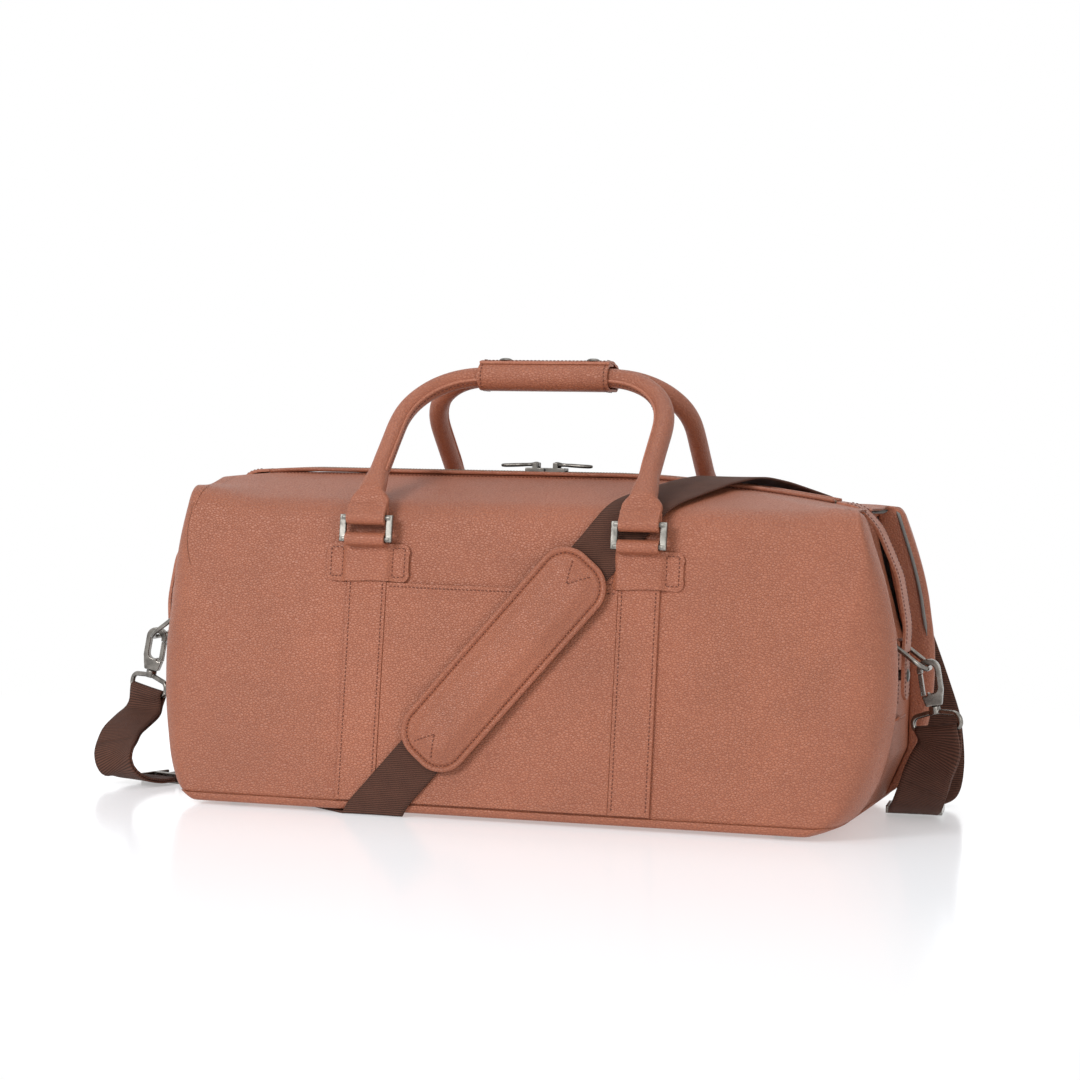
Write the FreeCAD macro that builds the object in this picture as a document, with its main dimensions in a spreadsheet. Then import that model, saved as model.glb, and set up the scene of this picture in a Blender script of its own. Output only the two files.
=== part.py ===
import FreeCAD, Part
import math
import os
from FreeCAD import Placement, Rotation, Vector

# Weekender bag. X runs along the bag, -Y is the front, Z is up; the origin is
# on the ground under the middle of the base. All lengths are millimetres.

doc = FreeCAD.newDocument("weekender_bag")
sheet = doc.addObject("Spreadsheet::Sheet", "Sizes")

SIZES = [
    # leather body
    ("base_half_length_left", 254), ("base_half_length_right", 250),
    ("base_half_depth", 131), ("zip_height", 264),
    ("level_left", 190), ("level_right", 60), ("foot_height", 3),
    ("bulge_left", 34), ("bulge_right", 51), ("bulge_height", 110),
    ("shoulder_height", 245), ("left_top_height", 258), ("right_top_height", 239),
    ("face_lean_deg", 6.7), ("roof_slope_deg", 16.4),
    ("leather", 2.6), ("lining_cloth", 0.8), ("base_corner", 20), ("end_corner", 33),
    ("base_seam_height", 9), ("mouth_half_width", 12), ("gusset_half_width", 84),
    ("gusset_inset", 20), ("gusset_push", 24), ("fold_depth", 22),
    ("board_thickness", 2), ("foot_radius", 7),
    # zip
    ("tape_thickness", 0.9), ("chain_width", 6), ("chain_height", 2.6),
    ("slider_length", 16), ("slider_width", 11), ("slider_height", 7),
    ("pull_length", 30), ("pull_width", 7), ("pull_thickness", 2),
    # handles, rings and the straps that carry them
    ("strap_spacing", 218), ("strap_width", 32), ("strap_leather", 2.5),
    ("plate_width", 67), ("plate_height", 29), ("plate_leather", 2.2), ("plate_drop", 32.7),
    ("pocket_leather", 2), ("bar_radius", 2.2), ("ring_pitch", 16.6), ("ring_gap", 1),
    ("ring_side", 5), ("ring_standoff", 9.8), ("ring_drop", 52.8), ("bar_clearance", 0.08),
    ("handle_radius", 7.75), ("cord_radius", 5), ("handle_rise", 76), ("handle_bend", 56),
    ("spade_slack", 1), ("spade_thickness", 5), ("spade_height", 19),
    ("grip_length", 108), ("grip_leather", 2.4), ("snap_radius", 5.5),
    # ends
    ("wing_width", 28), ("wing_leather", 3), ("tab_width", 24), ("tab_length", 36),
    ("side_tab_width", 28), ("side_tab_leather", 3.2), ("side_tab_low", 83),
    ("dring_wire", 1.9), ("dring_inner", 32), ("dring_reach", 30), ("dring_z", 138),
    ("dring_droop_deg", 37), ("hook_length", 36), ("hook_width", 18), ("hook_thickness", 5.5),
    ("eye_width", 46), ("eye_wire", 2.1), ("stud_radius", 5.5),
    # shoulder strap
    ("webbing_width", 38), ("webbing", 1.8),
    ("strap_angle_deg", 40), ("pad_length", 203), ("pad_width", 58), ("pad_thickness", 8),
    ("adjuster_length", 32), ("clear", 0.35),
]
for row, (alias, value) in enumerate(SIZES, start=1):
    sheet.set(f"A{row}", alias)
    sheet.set(f"B{row}", str(value))
    sheet.setAlias(f"B{row}", alias)
doc.recompute()
S = {alias: float(sheet.get(alias)) for alias, _ in SIZES}

LEAN = math.tan(math.radians(S["face_lean_deg"]))
SLOPE = math.tan(math.radians(S["roof_slope_deg"]))
WEB = S["webbing"]
CLEAR = S["clear"]


# ---------------------------------------------------------------- helpers
def feature(label, shape, placement=None):
    """A sub-part whose shape is worked out here, where sketches don't suit it."""
    obj = doc.addObject("Part::Feature", label)
    obj.Label = label
    obj.Shape = shape
    if placement is not None:
        obj.Placement = placement
    return obj


def bind(obj, **sizes):
    for prop, expression in sizes.items():
        obj.setExpression(prop.replace("__", "."), expression)


def primitive(kind, name, at=(0, 0, 0), axis=(0, 0, 1), angle=0, **sizes):
    """A Part primitive with its sizes bound to the sheet."""
    obj = doc.addObject(kind, name)
    bind(obj, **sizes)
    obj.Placement = Placement(Vector(*at), Rotation(Vector(*axis), angle))
    return obj


def combine(kind, name, *parts):
    """Part::MultiFuse, Part::MultiCommon or Part::Cut of document objects."""
    obj = doc.addObject(kind, name)
    if kind == "Part::Cut":
        obj.Base, obj.Tool = parts
    else:
        obj.Shapes = list(parts)
    obj.Label = name
    return obj


def block(x0, x1, y0, y1, z0, z1):
    return Part.makeBox(x1 - x0, y1 - y0, z1 - z0, Vector(x0, y0, z0))


def rounded(points, radii, closed=True):
    """Straight runs through the points, joined by tangent arcs."""
    pts = [Vector(*p) for p in points]
    count = len(pts)
    starts, ends, mids = [], [], []
    for i, p in enumerate(pts):
        r = radii[i]
        if r <= 0 or (not closed and i in (0, count - 1)):
            starts.append(p)
            ends.append(p)
            mids.append(None)
            continue
        a = (pts[i - 1] - p).normalize()
        b = (pts[(i + 1) % count] - p).normalize()
        half = a.getAngle(b) / 2
        reach = r / math.tan(half)
        toward = (a + b).normalize()
        starts.append(p + a * reach)
        ends.append(p + b * reach)
        mids.append(p + toward * (r / math.sin(half) - r))
    edges = []
    for i in range(count):
        if mids[i] is not None:
            edges.append(Part.Arc(starts[i], mids[i], ends[i]).toShape())
        if i < count - 1 or closed:
            nxt = starts[(i + 1) % count]
            if (nxt - ends[i]).Length > 1e-6:
                edges.append(Part.LineSegment(ends[i], nxt).toShape())
    return Part.Wire(edges)


def slab(points, radii, direction):
    """A prism of the rounded outline."""
    return Part.Face(rounded(points, radii)).extrude(Vector(*direction))


def tube(points, radii, radius):
    """A round bar swept along straight runs and tangent arcs."""
    path = rounded(points, radii, closed=False)
    first, second = Vector(*points[0]), Vector(*points[1])
    ring = Part.Wire(Part.makeCircle(radius, first, (second - first).normalize()))
    return path.makePipeShell([ring], True, True)


def polyhedron(faces):
    shell = Part.makeShell([Part.Face(Part.makePolygon(f + [f[0]])) for f in faces])
    solid = Part.makeSolid(shell)
    if solid.Volume < 0:
        solid.reverse()
    return solid


def ribbon(stations, thickness, closed=False):
    """A flat strip through stations (left, right, up): up is its unit thickness."""
    rings = [[a, b, b + u * thickness, a + u * thickness] for a, b, u in stations]
    faces = []
    pairs = list(zip(rings, rings[1:] + rings[:1])) if closed else list(zip(rings, rings[1:]))
    for p, q in pairs:
        for i in range(4):
            j = (i + 1) % 4
            faces.append([p[i], p[j], q[j]])
            faces.append([p[i], q[j], q[i]])
    if not closed:
        faces.append(rings[0])
        faces.append(list(reversed(rings[-1])))
    return polyhedron(faces)


# ---------------------------------------------------------------- leather body
Z0 = S["foot_height"]
BULGE = [  # height above the base, share of the end's bulge, corner growth
    (0, 0, 0.0), (11, 0.42, 0.3), (48, 0.82, 0.7), (107, 1.0, 1.0),
    (172, 0.86, 1.0), (242, 0.42, 1.0),
]


def face_y(z):
    """How far the front and back faces stand from the middle at a height."""
    return S["base_half_depth"] - LEAN * (z - Z0)


def end_x(side, z):
    """How far an end of the leather stands out at a height."""
    base = S["base_half_length_right"] if side > 0 else S["base_half_length_left"]
    bulge = S["bulge_right"] if side > 0 else S["bulge_left"]
    h = z - Z0
    for (h0, b0, _), (h1, b1, _) in zip(BULGE, BULGE[1:]):
        if h <= h1:
            return base + bulge * (b0 + (b1 - b0) * (h - h0) / (h1 - h0))
    return base + bulge * BULGE[-1][1]


def section(z, inset, growth):
    r = S["base_corner"] + (S["end_corner"] - S["base_corner"]) * growth - inset
    xl, xr, y = end_x(-1, z) - inset, end_x(1, z) - inset, face_y(z) - inset
    corners = [(-xl, -y, z), (xr, -y, z), (xr, y, z), (-xl, y, z)]
    return rounded(corners, [r] * 4)


def top_z(x):
    """Height of the zip line: level in the middle, drooping to each end."""
    xl, xr = -end_x(-1, S["shoulder_height"]), end_x(1, S["shoulder_height"])
    level_from, level_to = -S["level_left"], S["level_right"]
    top = S["zip_height"]
    if x < level_from:
        return top - (top - S["left_top_height"]) * ((level_from - x) / (level_from - xl)) ** 1.6
    if x > level_to:
        return top - (top - S["right_top_height"]) * ((x - level_to) / (xr - level_to)) ** 1.6
    return top


def top_line(drop, y):
    """Points of the zip line from the left end to the right, lowered by drop."""
    xl, xr = -end_x(-1, S["shoulder_height"]), end_x(1, S["shoulder_height"])
    droop = [i / 5 for i in range(6)]
    stops = [xl + (-S["level_left"] - xl) * k for k in droop]
    stops += [S["level_right"] + (xr - S["level_right"]) * k for k in droop]
    return [Vector(x, y, top_z(x) - drop) for x in stops]


def under_top(drop, half_width):
    """Everything below the zip line lowered by drop."""
    pts = top_line(drop, -half_width)
    reach = 80
    pts = [pts[0] - Vector(reach, 0, 0.3 * reach)] + pts + [pts[-1] + Vector(reach, 0, -0.5 * reach)]
    low = [Vector(pts[-1].x, -half_width, -50), Vector(pts[0].x, -half_width, -50)]
    outline = pts + low
    return Part.Face(Part.makePolygon(outline + [outline[0]])).extrude(Vector(0, 2 * half_width, 0))


def under_roof(inset):
    """Everything below the two slopes of the top."""
    m = S["mouth_half_width"]
    top = S["zip_height"]
    edge_y = face_y(240)
    edge_z = top - SLOPE * (edge_y - m)
    drop = 300
    foot_y = edge_y + 0.22 * drop
    pts = [(-400, -m, top), (-400, -edge_y, edge_z), (-400, -foot_y, edge_z - drop),
           (-400, foot_y, edge_z - drop), (-400, edge_y, edge_z), (-400, m, top)]
    wire = rounded(pts, [0, 22, 0, 0, 22, 0])
    if inset:
        wire = wire.makeOffset2D(-inset)
    return Part.Face(wire).extrude(Vector(800, 0, 0))


def gusset_line(side):
    """Outline, in the XZ plane, of the end's folded-in wall from low to high."""
    low, mid = Z0 + 6, S["bulge_height"]
    deep = S["gusset_inset"] if side > 0 else 0
    top_x = end_x(side, S["shoulder_height"]) - S["fold_depth"]
    return [(end_x(side, low) + 2, low - 10), (end_x(side, low) + 2, low),
            (end_x(side, 50) - 0.5 * deep, 50), (end_x(side, mid) - deep, mid + 12),
            (top_x, S["shoulder_height"] + 4), (top_x - 6, S["zip_height"] + 20)]


def fold_pocket(side, inset):
    """What the folded-in gusset leaves free at one end."""
    line = [(side * (x - inset), 0, z) for x, z in gusset_line(side)]
    outer = side * (max(abs(p[0]) for p in line) + 60)
    line = line + [(outer, 0, line[-1][2]), (outer, 0, line[0][2])]
    half = S["gusset_half_width"] + inset
    pts = [Vector(x, -half, z) for x, _, z in line]
    return Part.Face(Part.makePolygon(pts + [pts[0]])).extrude(Vector(0, 2 * half, 0))


def left_push(inset):
    """The left gusset is pushed out in its middle, as a soft frustum."""
    x = end_x(-1, S["bulge_height"])
    loops = []
    for out, half, low, high in ((-20, 84, 12, 205), (S["gusset_push"], 44, 62, 165)):
        y, z0, z1 = half - inset, low + inset, high - inset
        near = -(x + out - inset)
        corners = [(near, -y, z0), (near, y, z0), (near, y, z1), (near, -y, z1)]
        loops.append(rounded(corners, [18] * 4))
    return Part.makeLoft(loops, True, True)


def hull(inset):
    wires = [section(Z0 + h, inset, g) for h, _, g in BULGE]
    top = section(S["zip_height"] + 10, inset, 1.0)
    body = Part.makeLoft(wires + [top], True, True)
    if inset:
        body = body.common(block(-500, 500, -200, 200, Z0 + inset, 400))
    body = body.common(under_roof(inset)).common(under_top(inset, 200))
    for side in (-1, 1):
        body = body.cut(fold_pocket(side, inset))
    return body.fuse(left_push(inset)).removeSplitter()


outer = hull(0)
leather_shell = outer.cut(hull(S["leather"]))
seam = S["base_seam_height"]
gusset_top = 232
half = S["gusset_half_width"]
far = 500
base_zone = block(-far, far, -200, 200, 0, seam)
end_zones = {
    "left": block(-far, -200, -half, half, seam, gusset_top),
    "right": block(200, far, -half, half, seam, gusset_top),
}
mouth = S["mouth_half_width"]
mouth_slot = block(-far, far, -mouth, mouth, gusset_top, 400)
feature("base_panel", leather_shell.common(base_zone))
for name, zone in end_zones.items():
    feature(name + "_gusset", leather_shell.common(zone))
walls = leather_shell.cut(base_zone).cut(mouth_slot)
for zone in end_zones.values():
    walls = walls.cut(zone)
feature("front_panel", walls.common(block(-far, far, -200, 0, 0, 400)))
feature("back_panel", walls.common(block(-far, far, 0, 200, 0, 400)))

lining = hull(S["leather"]).cut(hull(S["leather"] + S["lining_cloth"])).cut(mouth_slot)
feature("lining", lining)
floor_z = Z0 + S["leather"] + S["lining_cloth"]
board_margin = 18
board_x0 = -S["base_half_length_left"] + board_margin
board_x1 = S["base_half_length_right"] - board_margin
board_y = S["base_half_depth"] - board_margin
board = block(board_x0, board_x1, -board_y, board_y, floor_z + 0.05, floor_z + S["board_thickness"])
feature("base_board", board)

# five nailed feet under the base board, of which the corner four are spread wide
foot = primitive("Part::Cylinder", "foot_middle", Radius="Sizes.foot_radius", Height="Sizes.foot_height")
feet = [foot]
for i, (sx, sy) in enumerate(((-1, -1), (1, -1), (1, 1), (-1, 1))):
    spot = (sx * (board_x1 - 12), sy * (board_y - 14), 0)
    feet.append(primitive("Part::Cylinder", f"foot_corner_{i}", spot,
                          Radius="Sizes.foot_radius", Height="Sizes.foot_height"))


def group(label, shapes):
    return feature(label, Part.makeCompound([s if isinstance(s, Part.Shape) else s.Shape for s in shapes]))


doc.recompute()
group("base_feet", feet)
for f in feet:
    doc.removeObject(f.Name)


# ---------------------------------------------------------------- faces' own frame
LEAN_DEG = S["face_lean_deg"]
SIN, COS = math.sin(math.radians(LEAN_DEG)), math.cos(math.radians(LEAN_DEG))
SEAT = 0.05


def face_frame(side):
    """Local x, -y outwards and z up the face; side is -1 in front and 1 behind."""
    lean = Rotation(Vector(1, 0, 0), -LEAN_DEG)
    turn = Rotation(Vector(0, 0, 1), 0 if side < 0 else 180)
    return Placement(Vector(0, side * S["base_half_depth"], Z0), turn.multiply(lean))


def on_face(side, x, out, s):
    """World point at x, out from the face and s up it."""
    y = -S["base_half_depth"] + s * SIN - out * COS
    return Vector(x, -side * y, Z0 + s * COS + out * SIN)


def face_part(label, shape, side):
    copy = shape.copy()
    copy.Placement = face_frame(side)
    return feature(label, copy)


SPREAD = S["strap_spacing"] / 2
STANDOFF = S["ring_standoff"]
BAR = S["bar_radius"]
BORE = BAR + S["bar_clearance"]
RING_Z = S["zip_height"] - S["ring_drop"]
BAR_S = (RING_Z - Z0 - STANDOFF * SIN) / COS
PLATE_S = (RING_Z - S["plate_drop"] - Z0) / COS
SIDES = {"front": -1, "back": 1}
HANDS = {"left": -1, "right": 1}


def x_cylinder(radius, length, y, z, x=0.0):
    return Part.makeCylinder(radius, length, Vector(x - length / 2, y, z), Vector(1, 0, 0))


def strap_shape(x):
    """A leather strap up the face that ends in a loop round the ring's lower bar."""
    w, t = S["strap_width"] / 2, S["strap_leather"]
    low = S["base_seam_height"] + 2 - Z0
    strip = block(x - w, x + w, -SEAT - t, -SEAT, low, BAR_S + 2)
    neck = block(x - w, x + w, -STANDOFF, -SEAT, BAR_S - 1.2, BAR_S + 2)
    loop = x_cylinder(BORE + t, 2 * w, -STANDOFF, BAR_S, x)
    bore = x_cylinder(BORE, 2 * w + 2, -STANDOFF, BAR_S, x)
    return strip.fuse([neck, loop]).cut(bore).removeSplitter()


def plate_shape(x):
    """The stitched cross plate, arched over its strap."""
    w, t = S["plate_width"] / 2, S["plate_leather"]
    sw, rise = S["strap_width"] / 2 + 0.3, S["strap_leather"] + 2 * SEAT
    outline = [(-w, -SEAT), (-w, -SEAT - t), (-sw - 3.2, -SEAT - t), (-sw - 1, -rise - t),
               (sw + 1, -rise - t), (sw + 3.2, -SEAT - t), (w, -SEAT - t), (w, -SEAT),
               (sw, -SEAT), (sw, -rise), (-sw, -rise), (-sw, -SEAT)]
    pts = [Vector(x + a, b, PLATE_S) for a, b in outline]
    return Part.Face(Part.makePolygon(pts + [pts[0]])).extrude(Vector(0, 0, S["plate_height"]))


for face, side in SIDES.items():
    for hand, sx in HANDS.items():
        x = sx * SPREAD * (1 if side < 0 else -1)
        face_part(f"{face}_strap_{hand}", strap_shape(x), side)
        face_part(f"{face}_plate_{hand}", plate_shape(x), side)

# the slip pocket fills the face between the two front straps
pocket_edge = SPREAD - S["strap_width"] / 2 - 0.3
pocket = block(-pocket_edge, pocket_edge, -SEAT - S["pocket_leather"], -SEAT,
               S["base_seam_height"] + 2 - Z0, PLATE_S)
face_part("front_pocket", pocket, -1)


# ---------------------------------------------------------------- zip
TAPE = S["tape_thickness"]
TAPE_DROP = 2.2
TAPE_TOP = TAPE_DROP - TAPE
WING_LAP = 13


def along_top(low_drop, high_drop, half_width, x0, x1):
    """A strip that follows the zip line between two depths below it."""
    zone = block(x0, x1, -half_width, half_width, 0, 500)
    return under_top(high_drop, 60).cut(under_top(low_drop, 60)).common(zone)


zip_x0 = -end_x(-1, S["shoulder_height"]) + S["fold_depth"] + WING_LAP
zip_x1 = end_x(1, S["shoulder_height"]) - S["fold_depth"] - WING_LAP
chain_half = S["chain_width"] / 2
tape = along_top(TAPE_DROP, TAPE_TOP, mouth - 0.2, zip_x0, zip_x1)
tape = tape.cut(block(-far, far, -0.4, 0.4, 0, 500))
group("zip_tapes", tape.Solids)
feature("zip_chain", along_top(TAPE_TOP - 0.02, TAPE_TOP - S["chain_height"], chain_half, zip_x0, zip_x1))

CHAIN_TOP = S["zip_height"] - TAPE_TOP + S["chain_height"]
SLIDER_LOW = S["zip_height"] - TAPE_TOP + CLEAR
SLIDER_TOP = CHAIN_TOP + CLEAR + 2.2
BRIDGE_Z = SLIDER_TOP + 2.6
BRIDGE_R = 1.0
for hand, sx in HANDS.items():
    length, wide = S["slider_length"], S["slider_width"]
    near = 0.6 if sx > 0 else -0.6
    x0 = near if sx > 0 else near - length
    mid = x0 + length / 2
    shell = block(x0, x0 + length, -wide / 2, wide / 2, SLIDER_LOW, SLIDER_TOP)
    tunnel = block(x0 - 1, x0 + length + 1, -chain_half - CLEAR, chain_half + CLEAR,
                   SLIDER_LOW - 1, CHAIN_TOP + CLEAR)
    ears = [block(mid - 2, mid + 2, y - 0.9, y + 0.9, SLIDER_TOP - 0.5, BRIDGE_Z + 1.6)
            for y in (-wide / 2 + 0.9, wide / 2 - 0.9)]
    bridge = Part.makeCylinder(BRIDGE_R, wide - 1, Vector(mid, -wide / 2 + 0.5, BRIDGE_Z), Vector(0, 1, 0))
    feature(f"zip_slider_{hand}", shell.cut(tunnel).fuse(ears + [bridge]).removeSplitter())
    pull_half = S["pull_width"] / 2
    t = S["pull_thickness"] / 2
    tip = mid + sx * S["pull_length"]
    bar = block(min(mid, tip), max(mid, tip), -pull_half, pull_half, BRIDGE_Z - t, BRIDGE_Z + t)
    bar = bar.fuse(Part.makeCylinder(2.4, 2 * pull_half, Vector(mid, -pull_half, BRIDGE_Z), Vector(0, 1, 0)))
    bar = bar.cut(Part.makeCylinder(BRIDGE_R + 0.08, 20, Vector(mid, -10, BRIDGE_Z), Vector(0, 1, 0)))
    feature(f"zip_pull_{hand}", bar)


# ---------------------------------------------------------------- rings and handles
RING_WIDTH = S["strap_width"] + 2 * S["ring_side"] + S["ring_gap"]


def ring(label, x, side):
    """A rectangular ring: two round bars and two flat sides."""
    bar_length = "Sizes.strap_width + 2 * Sizes.ring_side + Sizes.ring_gap - 4"
    w, p, r = RING_WIDTH, S["ring_pitch"], BAR
    bars = [primitive("Part::Cylinder", f"{label}_bar_{i}", (x - w / 2 + 2, -STANDOFF, BAR_S + i * p),
                      (0, 1, 0), 90, Radius="Sizes.bar_radius", Height=bar_length) for i in (0, 1)]
    flats = [primitive("Part::Box", f"{label}_flat_{i}",
                       (x + (w / 2 - S["ring_side"] if i else -w / 2), -STANDOFF - 1.6, BAR_S - r),
                       Length="Sizes.ring_side", Width="3.2",
                       Height="Sizes.ring_pitch + 2 * Sizes.bar_radius") for i in (0, 1)]
    obj = combine("Part::MultiFuse", label, *(bars + flats))
    obj.Placement = face_frame(side)
    return obj


PITCH = S["ring_pitch"]
HANDLE_TOP = S["zip_height"] + S["handle_rise"]
SPADE_LEAN = math.radians(25)
SPADE_RISE = S["spade_height"] + 3
GRIP_GAP = 0.45
HANDLE_R = S["handle_radius"]


def handle_points(side, start):
    """Feet and the two top corners of a handle's centre line."""
    bar = on_face(side, 0, STANDOFF, BAR_S + PITCH)
    foot_y = bar.y - side * SPADE_RISE * math.sin(SPADE_LEAN)
    foot_z = bar.z + SPADE_RISE * math.cos(SPADE_LEAN)
    top_y = side * (HANDLE_R + GRIP_GAP)
    top = HANDLE_TOP
    run = Vector(0, top_y - foot_y, top - foot_z).normalize() * start
    return [(-SPREAD, foot_y + run.y, foot_z + run.z), (-SPREAD, top_y, top),
            (SPREAD, top_y, top), (SPREAD, foot_y + run.y, foot_z + run.z)]


def spade(x, side):
    """The flat foot of a handle with the loop for the ring's upper bar."""
    w, t = (S["strap_width"] - S["spade_slack"]) / 2, S["spade_thickness"] / 2
    blade = block(-w, w, -t, t, 3, SPADE_RISE + 2)
    loop = x_cylinder(BORE + S["strap_leather"], 2 * w, 0, 0)
    foot = blade.fuse(loop).cut(x_cylinder(BORE, 2 * w + 2, 0, 0))
    lean = math.degrees(SPADE_LEAN) * side
    foot.Placement = Placement(on_face(side, x, STANDOFF, BAR_S + PITCH), Rotation(Vector(1, 0, 0), lean))
    return foot


bend = S["handle_bend"]
for face, side in SIDES.items():
    for hand, sx in HANDS.items():
        ring(f"{face}_ring_{hand}", sx * SPREAD * (1 if side < 0 else -1), side)
    points = handle_points(side, 0)
    cover = tube(points, [0, bend, bend, 0], HANDLE_R)
    knobs = [Part.makeSphere(HANDLE_R, Vector(*points[i])) for i in (0, 3)]
    feet = [spade(x, side) for x in (-SPREAD, SPREAD)]
    hollow = tube(handle_points(side, 12), [0, bend, bend, 0], S["cord_radius"] + 0.05)
    feature(f"{face}_handle", cover.fuse(knobs + feet).cut(hollow))
    feature(f"{face}_handle_cord", tube(handle_points(side, 12.1), [0, bend, bend, 0], S["cord_radius"]))

# grip wrap: half round the front handle, a flap over the back one, two snaps on top
grip_y = 2 * HANDLE_R + GRIP_GAP + CLEAR
grip_z = HANDLE_R + CLEAR
top = HANDLE_TOP
skin = S["grip_leather"]
half_grip = S["grip_length"] / 2


def capsule(y, z):
    corners = [(-half_grip, -y, top - z), (-half_grip, y, top - z),
               (-half_grip, y, top + z), (-half_grip, -y, top + z)]
    return slab(corners, [z - 0.05] * 4, (2 * half_grip, 0, 0))


sleeve = capsule(grip_y + skin, grip_z + skin).cut(capsule(grip_y, grip_z))
split = 0.2
SNAP_HEIGHT, SNAP_Y = 1.6, -6
# the front half runs on under the back handle, and the flap is hinged at its edge
cradle_y, cradle_z = HANDLE_R + 1.75, top - 6
before_split = block(-far, far, -200, -split, 0, far)
feature("grip_wrap", sleeve.common(before_split.fuse(block(-far, far, -200, cradle_y, 0, cradle_z))))
flap = sleeve.common(block(-far, far, split, 200, 0, far))
flap = flap.cut(block(-far, far, -200, cradle_y + 2 * split, 0, cradle_z + split))
lip_z = top + grip_z + skin + CLEAR
lip = [block(-half_grip, half_grip, -13, 6, lip_z, lip_z + skin),
       block(-half_grip, half_grip, split, 6, top + grip_z + 0.5, lip_z + skin)]
feature("grip_flap", flap.fuse(lip).removeSplitter())
snap_z = lip_z + skin
group("grip_snaps", [Part.makeCylinder(S["snap_radius"], SNAP_HEIGHT, Vector(x, SNAP_Y, snap_z))
                     for x in (-34, 39)])


# ---------------------------------------------------------------- bag ends
def mitred(points, thickness):
    """An XZ path thickened to its left by mitred offsets."""
    pts = [Vector(x, 0, z) for x, z in points]
    shifted = []
    for i, p in enumerate(pts):
        a = (p - pts[i - 1]).normalize() if i else (pts[1] - p).normalize()
        b = (pts[i + 1] - p).normalize() if i < len(pts) - 1 else a
        na, nb = Vector(-a.z, 0, a.x), Vector(-b.z, 0, b.x)
        n = (na + nb).normalize()
        shifted.append(p + n * (thickness / n.dot(na)))
    return pts + list(reversed(shifted))


def bent_strip(points, thickness, half_width, side):
    """A leather strip bent along a path given for the right-hand end."""
    outline = [Vector(side * p.x, -half_width, p.z) for p in mitred(points, thickness)]
    return Part.Face(Part.makePolygon(outline + [outline[0]])).extrude(Vector(0, 2 * half_width, 0))


def y_cylinder(radius, length, x, z, y=0.0):
    return Part.makeCylinder(radius, length, Vector(x, y - length / 2, z), Vector(0, 1, 0))


def wall_x(side):
    """Where the end's wall stands behind the side tab, at mid-height."""
    if side < 0:
        return end_x(-1, S["bulge_height"]) + S["gusset_push"]
    return end_x(1, S["bulge_height"]) - S["gusset_inset"]


WIRE = S["dring_wire"]
TAB = S["side_tab_leather"]
LOOP = WIRE + S["bar_clearance"] + 2
DZ = S["dring_z"]
WING_SKIN = S["wing_leather"]


def bar_x(side):
    return wall_x(side) + 0.3 + LOOP


def wing_x(side):
    return bar_x(side) + LOOP + 0.8


DROOP = math.radians(S["dring_droop_deg"])
PIN_Z = DZ - 7


def bow_point(side):
    """Middle of the D-ring's bow, where the hook hangs."""
    return Vector(side * (bar_x(side) + S["dring_reach"] * math.cos(DROOP)), 0,
                  DZ - S["dring_reach"] * math.sin(DROOP))


def side_tab(side):
    """The strip on the gusset: a loop for the D-ring above, a curled end below."""
    x0, low = wall_x(side) + 0.3, S["side_tab_low"]
    w = S["side_tab_width"]
    strip = block(x0, x0 + TAB, -w / 2, w / 2, low, DZ)
    loop = y_cylinder(LOOP, w, bar_x(side), DZ)
    curl = y_cylinder(5, w, x0 + 5, low + 1)
    shape = strip.fuse([loop, curl]).cut(y_cylinder(LOOP - 2, w + 2, bar_x(side), DZ))
    shape = shape.cut(y_cylinder(2.4, w + 2, x0 + 5, low + 1))
    return shape if side > 0 else shape.mirror(Vector(0, 0, 0), Vector(1, 0, 0))


def wing_path(side):
    """Inner line of the strip that carries the zip's end down the bag's end."""
    roof_x = end_x(side, S["shoulder_height"]) - S["fold_depth"] - WING_LAP + 1
    out = wing_x(side)
    start, edge = top_z(side * roof_x) + 0.4, top_z(side * (roof_x + 16)) + 0.6
    return [(out, PIN_Z + 1), (out + 1, 152), (out - 6, 190),
            (out - (out - roof_x) * 0.42, 226), (roof_x + 16, edge), (roof_x, start)]


def d_ring(side):
    w, reach = S["dring_inner"] / 2 + WIRE, S["dring_reach"]
    bow = tube([(0, -w, 0), (reach, -w, 0), (reach, w, 0), (0, w, 0)], [0, 12, 12, 0], WIRE)
    bar = y_cylinder(WIRE, 2 * w, 0, 0)
    ends = [Part.makeSphere(WIRE, Vector(0, y, 0)) for y in (-w, w)]
    shape = bow.fuse([bar] + ends)
    turn = Rotation(Vector(0, 0, 1), 0 if side > 0 else 180)
    droop = Rotation(Vector(0, 1, 0), S["dring_droop_deg"])
    shape.Placement = Placement(Vector(side * bar_x(side), 0, DZ), turn.multiply(droop))
    return shape


HOOK_TILT = -10
EYE_TURN = 22


def hang_frame(side, turned=False):
    """Frame of the hook, hanging down -Z from the D-ring's bow."""
    tilt = Rotation(Vector(0, 1, 0), side * HOOK_TILT)
    turn = Rotation(Vector(0, 0, 1), -EYE_TURN if turned else (0 if side > 0 else 180))
    return Placement(bow_point(side), tilt.multiply(turn))


HOOK_LOW = -S["hook_length"] + 7
OPEN_LOW, OPEN_TOP, OPEN_HALF = -19.0, WIRE + 1.0, 4.8
GATE_X = -7.0
POST_R, NECK_Z = 1.8, HOOK_LOW - 0.4


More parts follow.
